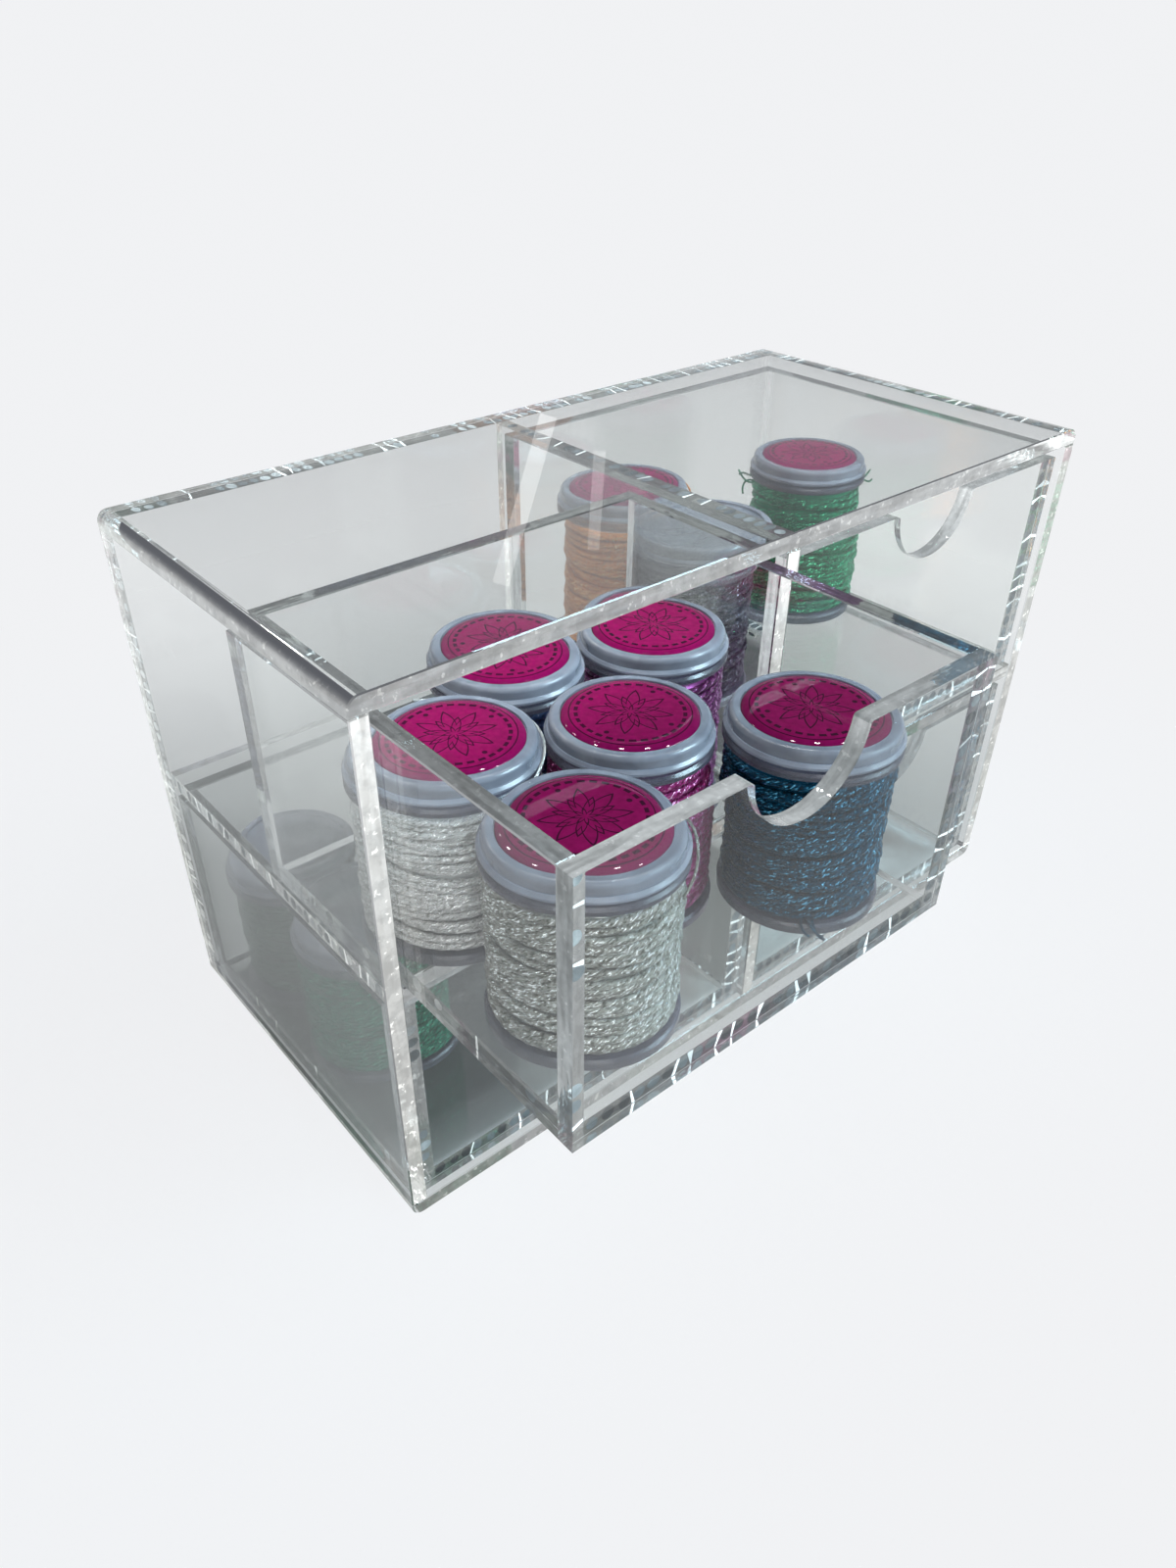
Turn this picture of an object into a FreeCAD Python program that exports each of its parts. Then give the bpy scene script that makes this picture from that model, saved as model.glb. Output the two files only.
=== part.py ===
"""Clear acrylic drawer box for embroidery thread, with its snap spools.

Two columns and two rows of drawers slide in a cemented case.  Each drawer is five cemented panels,
and its front has a half-round finger notch.  The drawers hold snap spools of metallic thread.  The
drawers are sized round the spools, and the case is sized round the drawers.

Frame: origin under the middle of the case, +X right, +Y to the back, +Z up, millimetres.
"""

import FreeCAD
import Part
import Sketcher
import os

doc = FreeCAD.newDocument("thread_drawer_box")

# ----- Driving sizes -------------------------------------------------------------------------

DRIVING_SIZES = [
    ("spool_diameter", "24.6", "across both flanges of a spool"),
    ("spool_height", "31.5", "foot to the top of the domed label"),
    ("spool_spacing", "0.25", "least gap between two spools"),
    ("wall_play", "0.25", "gap between the outermost spools and the drawer walls"),
    ("spool_headroom", "9.7", "top of the spools to the rim of the drawer"),
    ("drawer_wall", "2.8", "sheet that the drawers are cut from"),
    ("case_wall", "3", "sheet that the case is cut from"),
    ("cement_film", "0.05", "cement line between two glued panels"),
    ("side_gap", "0.4", "running gap on each side of a drawer"),
    ("floor_gap", "0.3", "running gap under a drawer"),
    ("top_gap", "2.2", "gap over a drawer"),
    ("back_gap", "0.3", "gap behind a closed drawer"),
    ("front_recess", "1.2", "closed drawer front behind the edge of the case"),
    ("open_pull", "39.2", "how far the upper left drawer stands open"),
    ("notch_radius", "10.5", "finger notch"),
    ("notch_rise", "0.6", "centre of the notch above the rim of the front"),
    ("notch_corner", "0.6", "rounding of the two corners of the notch"),
    ("edge_break", "0.2", "bevel on the polished edges that hands touch"),
    ("corner_round", "2", "rounding of the four long outer edges of the case"),
    ("foot_thickness", "2", "lower flange of a bobbin"),
    ("collar_thickness", "1.4", "upper flange of a bobbin"),
    ("collar_drop", "3.7", "label top to the top face of the upper flange"),
    ("core_radius", "6.4", "outside of the bobbin core"),
    ("core_wall", "1.2", "wall of the bobbin core"),
    ("flange_bevel", "0.4", "bevel on the rims of the flanges and of the cap's lip"),
    ("thread_shortfall", "0.4", "full winding inside the rim of the flanges"),
    ("winding_play", "0.1", "winding to the flanges above and below it"),
    ("winding_shoulder", "1.9", "height over which the winding swells to its full radius"),
    ("shoulder_drop", "0.36", "how much smaller the winding is against the flanges"),
    ("thread_trap", "0.4", "groove between cap and bobbin that holds the thread end"),
    ("trap_depth", "3.6", "how far the groove reaches in from the rim"),
    ("cap_lip", "1.1", "thin rim of the cap"),
    ("cap_step", "0.6", "raised ring of the cap inside its rim"),
    ("cap_round", "0.8", "rounding of the raised ring"),
    ("ring_width", "1.6", "flat ring round the label seat"),
    ("seat_depth", "0.5", "depth of the label seat"),
    ("plug_length", "5", "cap plug that snaps into the core"),
    ("plug_play", "0.08", "plug to core, on the radius"),
    ("label_play", "0.15", "label to the edge of its seat"),
    ("label_edge", "0.35", "thickness of the label at its edge"),
    ("label_dome", "0.5", "how far the label's dome rises over its edge"),
]

sheet = doc.addObject("Spreadsheet::Sheet", "Sizes")
for row, (alias, number, note) in enumerate(DRIVING_SIZES, start=1):
    sheet.set(f"A{row}", note)
    sheet.set(f"B{row}", number)
    sheet.setAlias(f"B{row}", alias)
doc.recompute()

# Where the spools stand in each drawer: colour, then the centre's place from the middle of the
# drawer to the right and to the back, in spool pitches.  No two are less than one pitch apart.
SPOOL_LAYOUT = {
    "upper_left": [
        ("pearl", -0.886, 0.273),
        ("navy", -0.078, 0.874),
        ("silver", -0.835, -0.787),
        ("magenta", 0.020, -0.175),
        ("purple", 0.878, 0.552),
        ("teal", 0.855, -0.795),
    ],
    "upper_right": [
        ("peach", -0.780, 0.870),
        ("charcoal", -0.855, -0.135),
        ("green", 0.876, 0.385),
    ],
    "lower_left": [
        ("olive", -0.880, 0.870),
        ("emerald", -0.875, -0.140),
    ],
    "lower_right": [],
}
LABELLED_SPOOLS = ["pearl", "navy", "silver", "magenta", "purple", "teal", "peach", "green"]
LAYOUT_REACH_X = max(abs(across) for spools in SPOOL_LAYOUT.values() for _, across, _ in spools)
LAYOUT_REACH_Y = max(abs(back) for spools in SPOOL_LAYOUT.values() for _, _, back in spools)

# How full each winding is: what it lacks of a full spool's radius.
WINDING_SLACK = {"charcoal": 0.3, "peach": 0.2, "olive": 0.5, "green": 0.2}

# ----- Sizes that follow from the driving ones, as expressions -------------------------------

SPOOL_RADIUS = "(Sizes.spool_diameter / 2)"
SPOOL_PITCH = "(Sizes.spool_diameter + Sizes.spool_spacing)"

INNER_WIDTH = f"(2 * {LAYOUT_REACH_X} * {SPOOL_PITCH} + Sizes.spool_diameter + 2 * Sizes.wall_play)"
INNER_DEPTH = f"(2 * {LAYOUT_REACH_Y} * {SPOOL_PITCH} + Sizes.spool_diameter + 2 * Sizes.wall_play)"
DRAWER_WIDTH = f"({INNER_WIDTH} + 2 * Sizes.drawer_wall)"
DRAWER_LENGTH = f"({INNER_DEPTH} + 2 * Sizes.drawer_wall)"
DRAWER_HEIGHT = "(Sizes.drawer_wall + Sizes.spool_height + Sizes.spool_headroom)"

BAY_WIDTH = f"({DRAWER_WIDTH} + 2 * Sizes.side_gap)"
BAY_HEIGHT = f"({DRAWER_HEIGHT} + Sizes.floor_gap + Sizes.top_gap)"
BAY_DEPTH = f"({DRAWER_LENGTH} + Sizes.front_recess + Sizes.back_gap)"

CASE_INNER_WIDTH = f"(2 * {BAY_WIDTH} + Sizes.case_wall)"
CASE_WIDTH = f"({CASE_INNER_WIDTH} + 2 * Sizes.case_wall)"
CASE_DEPTH = f"({BAY_DEPTH} + Sizes.case_wall)"
CASE_HEIGHT = f"(2 * {BAY_HEIGHT} + 3 * Sizes.case_wall)"
CASE_FRONT = f"(-{CASE_DEPTH} / 2)"
CASE_SIDE_HEIGHT = f"(2 * {BAY_HEIGHT} + Sizes.case_wall)"
SHELF_UNDERSIDE = f"(Sizes.case_wall + {BAY_HEIGHT})"
UPPER_BAY_FLOOR = f"({SHELF_UNDERSIDE} + Sizes.case_wall)"
BAY_PITCH = f"({BAY_WIDTH} + Sizes.case_wall)"

COLLAR_TOP = "(Sizes.spool_height - Sizes.collar_drop)"
COLLAR_UNDERSIDE = f"({COLLAR_TOP} - Sizes.collar_thickness)"
CORE_BORE = "(Sizes.core_radius - Sizes.core_wall)"
LABEL_SEAT = "(Sizes.spool_height - Sizes.label_dome - Sizes.label_edge)"
CAP_TOP = f"({LABEL_SEAT} + Sizes.seat_depth)"
CAP_LIP_UNDERSIDE = f"({COLLAR_TOP} + Sizes.thread_trap)"
CAP_LIP_TOP = f"({CAP_LIP_UNDERSIDE} + Sizes.cap_lip)"
CAP_RING_RADIUS = f"({SPOOL_RADIUS} - Sizes.cap_step)"
LABEL_SEAT_RADIUS = f"({CAP_RING_RADIUS} - Sizes.ring_width)"
LABEL_RADIUS = f"({LABEL_SEAT_RADIUS} - Sizes.label_play)"


def number(expression):
    """The present value of an expression, in millimetres."""
    return float(sheet.evalExpression(expression))


# ----- Helpers for panels and turned pieces --------------------------------------------------

SAME_POINT = 1e-4

def new_body(name):
    body = doc.addObject("PartDesign::Body", name)
    body.Label = name
    return body


def sketch_on(body, plane, name):
    """An empty sketch on one of the body's own origin planes."""
    origin_plane = next(item for item in body.Origin.OriginFeatures if item.Role == plane)
    sketch = body.newObject("Sketcher::SketchObject", name)
    sketch.AttachmentSupport = [(origin_plane, "")]
    sketch.MapMode = "FlatFace"
    return sketch


def bind(feature, properties):
    """Bind each property of a feature to its expression."""
    for path, expression in properties.items():
        feature.setExpression(path, expression)


def bind_place(feature, place):
    bind(feature, {f"Placement.Base.{axis}": expression for axis, expression in zip("xyz", place)})


def draw_outline(sketch, corners):
    """Close a straight-sided outline whose corners are pairs of expressions."""
    points = [FreeCAD.Vector(number(across), number(up), 0) for across, up in corners]
    for index, point in enumerate(points):
        sketch.addGeometry(Part.LineSegment(point, points[(index + 1) % len(points)]), False)
    for index, (across, up) in enumerate(corners):
        following = (index + 1) % len(corners)
        sketch.addConstraint(Sketcher.Constraint("Coincident", index, 2, following, 1))
        for kind, expression, value in (("DistanceX", across, points[index].x),
                                        ("DistanceY", up, points[index].y)):
            constraint = sketch.addConstraint(Sketcher.Constraint(kind, -1, 1, index, 1, value))
            sketch.setExpression(f"Constraints[{constraint}]", expression)


def pad_sketch(body, sketch, thickness, reversed_pad=False):
    pad = body.newObject("PartDesign::Pad", f"{body.Label}_pad")
    pad.Profile = sketch
    pad.Reversed = reversed_pad
    pad.setExpression("Length", thickness)
    sketch.Visibility = False
    return pad


def revolve_sketch(body, sketch):
    turned = body.newObject("PartDesign::Revolution", f"{body.Label}_turned")
    turned.Profile = sketch
    turned.ReferenceAxis = (sketch, ["V_Axis"])
    turned.Angle = 360
    return turned


def near(value, target):
    return abs(value - target) < SAME_POINT


def edges_where(feature, test, along=None):
    """Names of the feature's edges whose end points all pass the test.

    With along, only straight edges that run along that axis are taken.
    """
    names = []
    for index, edge in enumerate(feature.Shape.Edges, start=1):
        ends = [vertex.Point for vertex in edge.Vertexes]
        if not all(test(point) for point in ends):
            continue
        if along and not near(abs(getattr(ends[-1] - ends[0], along.lower())), edge.Length):
            continue
        names.append(f"Edge{index}")
    return names


def bevel_edges(body, feature, test, size):
    """Bevel the edges of the feature whose end points pass the test."""
    doc.recompute()
    bevel = body.newObject("PartDesign::Chamfer", f"{body.Label}_bevel")
    bevel.Base = (feature, edges_where(feature, test))
    bevel.setExpression("Size", size)
    return bevel


def round_edges(body, feature, test, radius, along=None):
    """Round the edges of the feature whose end points pass the test."""
    doc.recompute()
    rounding = body.newObject("PartDesign::Fillet", f"{body.Label}_rounding")
    rounding.Base = (feature, edges_where(feature, test, along))
    rounding.setExpression("Radius", radius)
    return rounding


def centred_rectangle(width, low, high):
    """Corners of a rectangle centred across the sketch's upright axis."""
    half = f"{width} / 2"
    return [(f"-{half}", low), (half, low), (half, high), (f"-{half}", high)]


def rectangle(left, low, right, high):
    return [(left, low), (right, low), (right, high), (left, high)]


PLANE_PADS = {"XY_Plane": False, "XZ_Plane": True, "YZ_Plane": False}


def panel(name, plane, corners, thickness, place):
    """A sheet panel: an outline on one of its origin planes, padded towards +X, +Y or +Z."""
    body = new_body(name)
    sketch = sketch_on(body, plane, f"{name}_outline")
    draw_outline(sketch, corners)
    pad = pad_sketch(body, sketch, thickness, PLANE_PADS[plane])
    bind_place(body, place)
    return body, pad


# ----- The case ------------------------------------------------------------------------------

def break_front_edges(body, pad):
    """The saw-cut front edge of a case panel is polished and slightly bevelled."""
    bevel_edges(body, pad, lambda point: near(point.y, 0), "Sizes.edge_break")


def round_outer_corners(body, pad, outer_face):
    """Round the two long side edges of the top or bottom panel on the outside of the case."""
    half_width = number(CASE_WIDTH) / 2
    return round_edges(body, pad,
                       lambda point: near(point.z, outer_face) and near(abs(point.x), half_width),
                       "Sizes.corner_round", along="Y")


def lying_panel(name, width, depth, place):
    return panel(name, "XY_Plane", centred_rectangle(width, "0", depth), "Sizes.case_wall", place)


def build_case():
    """Bottom and top run the full width; sides, back, shelf and dividers stand between them."""
    film = "Sizes.cement_film"
    parts = []
    full_width = [
        ("case_bottom", "0", "0"),
        ("case_top", f"{CASE_HEIGHT} - Sizes.case_wall", "Sizes.case_wall"),
    ]
    for name, height, outer_face in full_width:
        body, pad = lying_panel(name, CASE_WIDTH, CASE_DEPTH, ("0", CASE_FRONT, height))
        parts.append((body, round_outer_corners(body, pad, number(outer_face))))
    shelf_width = f"({CASE_INNER_WIDTH} - 2 * {film})"
    inside_depth = f"({BAY_DEPTH} - {film})"
    parts.append(lying_panel("case_shelf", shelf_width, inside_depth, ("0", CASE_FRONT, SHELF_UNDERSIDE)))

    side_outline = rectangle("0", film, CASE_DEPTH, f"{CASE_SIDE_HEIGHT} - {film}")
    side_places = [
        ("case_left_side", f"-{CASE_WIDTH} / 2"),
        ("case_right_side", f"{CASE_WIDTH} / 2 - Sizes.case_wall"),
    ]
    for name, across in side_places:
        place = (across, CASE_FRONT, "Sizes.case_wall")
        parts.append(panel(name, "YZ_Plane", side_outline, "Sizes.case_wall", place))

    divider_outline = rectangle("0", film, inside_depth, f"{BAY_HEIGHT} - {film}")
    for name, height in (("lower_divider", "Sizes.case_wall"), ("upper_divider", UPPER_BAY_FLOOR)):
        place = ("-Sizes.case_wall / 2", CASE_FRONT, height)
        parts.append(panel(name, "YZ_Plane", divider_outline, "Sizes.case_wall", place))
    for body, pad in parts:
        break_front_edges(body, pad)

    back_outline = centred_rectangle(shelf_width, film, f"{CASE_SIDE_HEIGHT} - {film}")
    back_place = ("0", f"{CASE_FRONT} + {BAY_DEPTH}", "Sizes.case_wall")
    back, _ = panel("case_back", "XZ_Plane", back_outline, "Sizes.case_wall", back_place)
    return [body for body, _ in parts] + [back]


# ----- The drawers ---------------------------------------------------------------------------

def cut_notch(body, pad):
    """Cut the half-round finger notch out of the rim of a drawer front and round its corners."""
    sketch = sketch_on(body, "XZ_Plane", f"{body.Label}_notch_circle")
    centre_height = f"{DRAWER_HEIGHT} + Sizes.notch_rise"
    centre = FreeCAD.Vector(0, number(centre_height), 0)
    sketch.addGeometry(Part.Circle(centre, FreeCAD.Vector(0, 0, 1), number("Sizes.notch_radius")), False)
    sketch.addConstraint(Sketcher.Constraint("PointOnObject", 0, 3, -2))
    height = sketch.addConstraint(Sketcher.Constraint("DistanceY", -1, 1, 0, 3, centre.y))
    sketch.setExpression(f"Constraints[{height}]", centre_height)
    radius = sketch.addConstraint(Sketcher.Constraint("Radius", 0, number("Sizes.notch_radius")))
    sketch.setExpression(f"Constraints[{radius}]", "Sizes.notch_radius")
    doc.recompute()
    whole = pad.Shape.Volume
    pocket = body.newObject("PartDesign::Pocket", f"{body.Label}_notch")
    pocket.Profile = sketch
    pocket.Type = "ThroughAll"
    pocket.Midplane = True
    doc.recompute()
    if pocket.Shape.Volume > whole - 1:
        raise RuntimeError(f"{body.Label}: the notch cuts nothing")
    rim = number(DRAWER_HEIGHT)
    panel_end = number(DRAWER_WIDTH) / 2
    round_edges(body, pocket,
                lambda point: near(point.z, rim) and not near(abs(point.x), panel_end),
                "Sizes.notch_corner", along="Y")


def build_drawer(drawer, column, bay_floor, pull):
    """Five panels: front and back across the full width, sides between them, floor inside."""
    prefix = f"{drawer}_drawer"
    film = "Sizes.cement_film"
    middle = f"({column} * {BAY_PITCH} / 2)"
    front_face = f"({CASE_FRONT} + Sizes.front_recess - {pull})"
    foot = f"({bay_floor} + Sizes.floor_gap)"
    rim = number(DRAWER_HEIGHT)
    inside_front = f"({front_face} + Sizes.drawer_wall)"
    between_ends = f"({INNER_DEPTH} - {film})"

    end_outline = centred_rectangle(DRAWER_WIDTH, "0", DRAWER_HEIGHT)
    front, pad = panel(f"{prefix}_front", "XZ_Plane", end_outline, "Sizes.drawer_wall",
                       (middle, front_face, foot))
    cut_notch(front, pad)
    back, pad = panel(f"{prefix}_back", "XZ_Plane", end_outline, "Sizes.drawer_wall",
                      (middle, f"{inside_front} + {INNER_DEPTH}", foot))
    bevel_edges(back, pad, lambda point: near(point.z, rim), "Sizes.edge_break")

    side_outline = rectangle(film, "0", between_ends, DRAWER_HEIGHT)
    panels = [front, back]
    for side, across in (("left", f"{middle} - {DRAWER_WIDTH} / 2"),
                         ("right", f"{middle} + {INNER_WIDTH} / 2")):
        body, pad = panel(f"{prefix}_{side}_side", "YZ_Plane", side_outline, "Sizes.drawer_wall",
                          (across, inside_front, foot))
        bevel_edges(body, pad, lambda point: near(point.z, rim), "Sizes.edge_break")
        panels.append(body)

    floor_outline = centred_rectangle(f"({INNER_WIDTH} - 2 * {film})", film, between_ends)
    floor, _ = panel(f"{prefix}_floor", "XY_Plane", floor_outline, "Sizes.drawer_wall",
                     (middle, inside_front, foot))
    panels.append(floor)
    drawer_floor = f"({foot} + Sizes.drawer_wall)"
    drawer_centre = f"({inside_front} + {INNER_DEPTH} / 2)"
    return panels, (middle, drawer_centre, drawer_floor)


# ----- The snap spools -----------------------------------------------------------------------

def turned_piece(name, profile, place):
    """A piece turned about its own upright axis from a profile of (radius, height) corners."""
    body = new_body(name)
    sketch = sketch_on(body, "XZ_Plane", f"{name}_profile")
    draw_outline(sketch, profile)
    turned = revolve_sketch(body, sketch)
    bind_place(body, place)
    return body, turned


def rim_test(radius, heights):
    """Test for end points on circles of one radius at any of the heights."""
    wanted_radius = number(radius)
    wanted_heights = [number(height) for height in heights]
    return lambda point: (near((point.x ** 2 + point.y ** 2) ** 0.5, wanted_radius)
                          and any(near(point.z, height) for height in wanted_heights))


def build_bobbin(name, place):
    """Foot flange, hollow core and upper flange, moulded in one."""
    profile = [
        (CORE_BORE, "0"),
        (SPOOL_RADIUS, "0"),
        (SPOOL_RADIUS, "Sizes.foot_thickness"),
        ("Sizes.core_radius", "Sizes.foot_thickness"),
        ("Sizes.core_radius", COLLAR_UNDERSIDE),
        (SPOOL_RADIUS, COLLAR_UNDERSIDE),
        (SPOOL_RADIUS, COLLAR_TOP),
        (CORE_BORE, COLLAR_TOP),
    ]
    body, turned = turned_piece(name, profile, place)
    rims = rim_test(SPOOL_RADIUS, ["0", "Sizes.foot_thickness", COLLAR_UNDERSIDE, COLLAR_TOP])
    bevel_edges(body, turned, rims, "Sizes.flange_bevel")
    return body


def build_winding(name, slack, place):
    """The wound thread: it fills the bobbin between its flanges, a little slacker against them."""
    low = "(Sizes.foot_thickness + Sizes.winding_play)"
    high = f"({COLLAR_UNDERSIDE} - Sizes.winding_play)"
    inside = "(Sizes.core_radius + Sizes.winding_play)"
    full = f"({SPOOL_RADIUS} - Sizes.thread_shortfall - {slack})"
    profile = [
        (inside, low),
        (f"{full} - Sizes.shoulder_drop", low),
        (full, f"{low} + Sizes.winding_shoulder"),
        (full, f"{high} - Sizes.winding_shoulder"),
        (f"{full} - Sizes.shoulder_drop", high),
        (inside, high),
    ]
    body, _ = turned_piece(name, profile, place)
    return body


def build_cap(name, place):
    """Snap cap: thin lip, raised ring with the label seat, and the plug that snaps into the core."""
    trap_edge = f"({SPOOL_RADIUS} - Sizes.trap_depth)"
    plug_radius = f"({CORE_BORE} - Sizes.plug_play)"
    plug_end = f"({COLLAR_TOP} - Sizes.plug_length)"
    profile = [
        ("0", plug_end),
        (plug_radius, plug_end),
        (plug_radius, COLLAR_TOP),
        (trap_edge, COLLAR_TOP),
        (trap_edge, CAP_LIP_UNDERSIDE),
        (SPOOL_RADIUS, CAP_LIP_UNDERSIDE),
        (SPOOL_RADIUS, CAP_LIP_TOP),
        (CAP_RING_RADIUS, CAP_LIP_TOP),
        (CAP_RING_RADIUS, CAP_TOP),
        (LABEL_SEAT_RADIUS, CAP_TOP),
        (LABEL_SEAT_RADIUS, LABEL_SEAT),
        ("0", LABEL_SEAT),
    ]
    body, turned = turned_piece(name, profile, place)
    lip = bevel_edges(body, turned, rim_test(SPOOL_RADIUS, [CAP_LIP_UNDERSIDE, CAP_LIP_TOP]),
                      "Sizes.flange_bevel")
    round_edges(body, lip, rim_test(CAP_RING_RADIUS, [CAP_TOP]), "Sizes.cap_round")
    return body


def build_label(name, place):
    """Round label under a clear dome: a disc with a spherical top."""
    body = new_body(name)
    sketch = sketch_on(body, "XZ_Plane", f"{name}_profile")
    radius, seat = number(LABEL_RADIUS), number(LABEL_SEAT)
    edge, dome = number("Sizes.label_edge"), number("Sizes.label_dome")
    middle_foot = FreeCAD.Vector(0, seat, 0)
    edge_foot = FreeCAD.Vector(radius, seat, 0)
    edge_top = FreeCAD.Vector(radius, seat + edge, 0)
    crown = FreeCAD.Vector(0, seat + edge + dome, 0)
    dome_radius = (radius ** 2 + dome ** 2) / (2 * dome)
    sphere_centre = FreeCAD.Vector(0, crown.y - dome_radius, 0)
    sphere = Part.Circle(sphere_centre, FreeCAD.Vector(0, 0, 1), dome_radius)
    dome_arc = Part.ArcOfCircle(sphere, sphere.parameter(edge_top), sphere.parameter(crown))
    sketch.addGeometry(Part.LineSegment(middle_foot, edge_foot), False)
    sketch.addGeometry(Part.LineSegment(edge_foot, edge_top), False)
    sketch.addGeometry(dome_arc, False)
    sketch.addGeometry(Part.LineSegment(crown, middle_foot), False)
    for first, first_end, second, second_end in ((0, 2, 1, 1), (1, 2, 2, 1), (2, 2, 3, 1), (3, 2, 0, 1)):
        sketch.addConstraint(Sketcher.Constraint("Coincident", first, first_end, second, second_end))
    for vertical in (1, 3):
        sketch.addConstraint(Sketcher.Constraint("Vertical", vertical))
    sketch.addConstraint(Sketcher.Constraint("Horizontal", 0))
    sketch.addConstraint(Sketcher.Constraint("PointOnObject", 0, 1, -2))
    sketch.addConstraint(Sketcher.Constraint("PointOnObject", 2, 3, -2))
    measured = [
        ("DistanceX", (0, 1, 0, 2), radius, LABEL_RADIUS),
        ("DistanceY", (-1, 1, 0, 1), seat, LABEL_SEAT),
        ("DistanceY", (1, 1, 1, 2), edge, "Sizes.label_edge"),
        ("DistanceY", (0, 1, 3, 1), edge + dome, "Sizes.label_edge + Sizes.label_dome"),
    ]
    for kind, ends, value, expression in measured:
        constraint = sketch.addConstraint(Sketcher.Constraint(kind, *ends, value))
        sketch.setExpression(f"Constraints[{constraint}]", expression)
    revolve_sketch(body, sketch)
    bind_place(body, place)
    return body


def group(name, pieces):
    """Like pieces that share one name, kept as separate solids."""
    compound = doc.addObject("Part::Compound", name)
    compound.Label = name
    compound.Links = pieces
    return compound


def build_spools(drawer, centre):
    """Each spool stands on the drawer floor: bobbin, winding, cap and, on most, a label."""
    singles, caps, labels = [], [], []
    for colour, across, back in SPOOL_LAYOUT[drawer]:
        place = (f"{centre[0]} + {across} * {SPOOL_PITCH}", f"{centre[1]} + {back} * {SPOOL_PITCH}",
                 centre[2])
        slack = WINDING_SLACK.get(colour, 0)
        singles.append(build_bobbin(f"bobbin_{colour}", place))
        singles.append(build_winding(f"thread_{colour}", slack, place))
        caps.append(build_cap(f"cap_{colour}", place))
        if colour in LABELLED_SPOOLS:
            labels.append(build_label(f"label_{colour}", place))
    groups = []
    if caps:
        groups.append(group(f"snap_caps_{drawer}", caps))
    if labels:
        groups.append(group(f"labels_{drawer}", labels))
    return singles + groups


# ----- Build everything and write it ---------------------------------------------------------

DRAWERS = [
    ("upper_left", -1, UPPER_BAY_FLOOR, "Sizes.open_pull"),
    ("upper_right", 1, UPPER_BAY_FLOOR, "0"),
    ("lower_left", -1, "Sizes.case_wall", "0"),
    ("lower_right", 1, "Sizes.case_wall", "0"),
]

nodes = build_case()
for drawer_name, column_side, floor_of_bay, pulled_out in DRAWERS:
    drawer_panels, spool_origin = build_drawer(drawer_name, column_side, floor_of_bay, pulled_out)
    nodes += drawer_panels
    nodes += build_spools(drawer_name, spool_origin)
doc.recompute()

for item in doc.Objects:
    if "Invalid" in item.State or "Error" in item.State:
        raise RuntimeError(f"{item.Label}: {item.State}")
for node in nodes:
    if node.Shape.isNull() or not node.Shape.isValid():
        raise RuntimeError(f"{node.Label}: its shape is empty or not valid")

os.makedirs("parts", exist_ok=True)
for node in nodes:
    node.Shape.exportStep(f"parts/{node.Label}.step")
print(f"{len(nodes)} nodes, {sum(len(node.Shape.Solids) for node in nodes)} solids")
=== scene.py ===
"""Looks of the clear drawer box for embroidery thread: polished acrylic, cement bubbles in the
joints, snap spools of twisted metallic thread with their loose ends, and domed labels."""

import math

import bpy
import numpy as np
from mathutils import Matrix, Vector


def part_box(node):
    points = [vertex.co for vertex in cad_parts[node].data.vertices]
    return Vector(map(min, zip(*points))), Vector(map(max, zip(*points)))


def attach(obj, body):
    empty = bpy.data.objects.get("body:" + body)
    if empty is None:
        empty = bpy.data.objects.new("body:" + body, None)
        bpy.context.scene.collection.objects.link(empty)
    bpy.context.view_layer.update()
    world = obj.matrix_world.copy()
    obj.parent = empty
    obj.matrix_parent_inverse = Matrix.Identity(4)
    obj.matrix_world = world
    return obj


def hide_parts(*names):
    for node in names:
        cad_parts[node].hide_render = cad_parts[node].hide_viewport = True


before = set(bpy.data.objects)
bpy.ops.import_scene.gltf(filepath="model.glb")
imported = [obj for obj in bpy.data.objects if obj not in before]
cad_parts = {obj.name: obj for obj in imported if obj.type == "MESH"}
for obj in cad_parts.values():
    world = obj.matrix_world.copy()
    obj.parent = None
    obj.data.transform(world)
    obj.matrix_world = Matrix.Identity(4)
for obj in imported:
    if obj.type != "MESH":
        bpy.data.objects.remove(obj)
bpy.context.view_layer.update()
MM = 0.001


# --- Camera ------------------------------------------------------------------------------------
# The box is seen from its left front corner and from above, from about a hand's length away, so
# the near corner of the open drawer looms large.

CAMERA_PLACE = (-0.13389, -0.14571, 0.16936)
# The turn's columns are the camera's right, its up and its backward direction.
CAMERA_TURN = (
    (0.77385, 0.37727, -0.50875),
    (-0.63336, 0.45502, -0.62596),
    (-0.00466, 0.80662, 0.59106),
)
# The image, the focal length and the optical axis are in pixels, the sensor in millimetres.
IMAGE_WIDTH, IMAGE_HEIGHT = 1200, 1600
FOCAL_PIXELS = 1156.06
OPTICAL_AXIS = (571.4, 838.0)
SENSOR = 36.0
NEAR_LIMIT = 5 * MM

camera_data = bpy.data.cameras.new("camera")
camera_data.sensor_width = SENSOR
camera_data.lens = SENSOR * FOCAL_PIXELS / IMAGE_HEIGHT
camera_data.shift_x = (IMAGE_WIDTH / 2 - OPTICAL_AXIS[0]) / IMAGE_HEIGHT
camera_data.shift_y = (OPTICAL_AXIS[1] - IMAGE_HEIGHT / 2) / IMAGE_HEIGHT
camera_data.clip_start = NEAR_LIMIT
camera = bpy.data.objects.new("camera", camera_data)
camera.matrix_world = Matrix.Translation(CAMERA_PLACE) @ Matrix(CAMERA_TURN).to_4x4()
bpy.context.scene.collection.objects.link(camera)
bpy.context.scene.camera = camera


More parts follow.
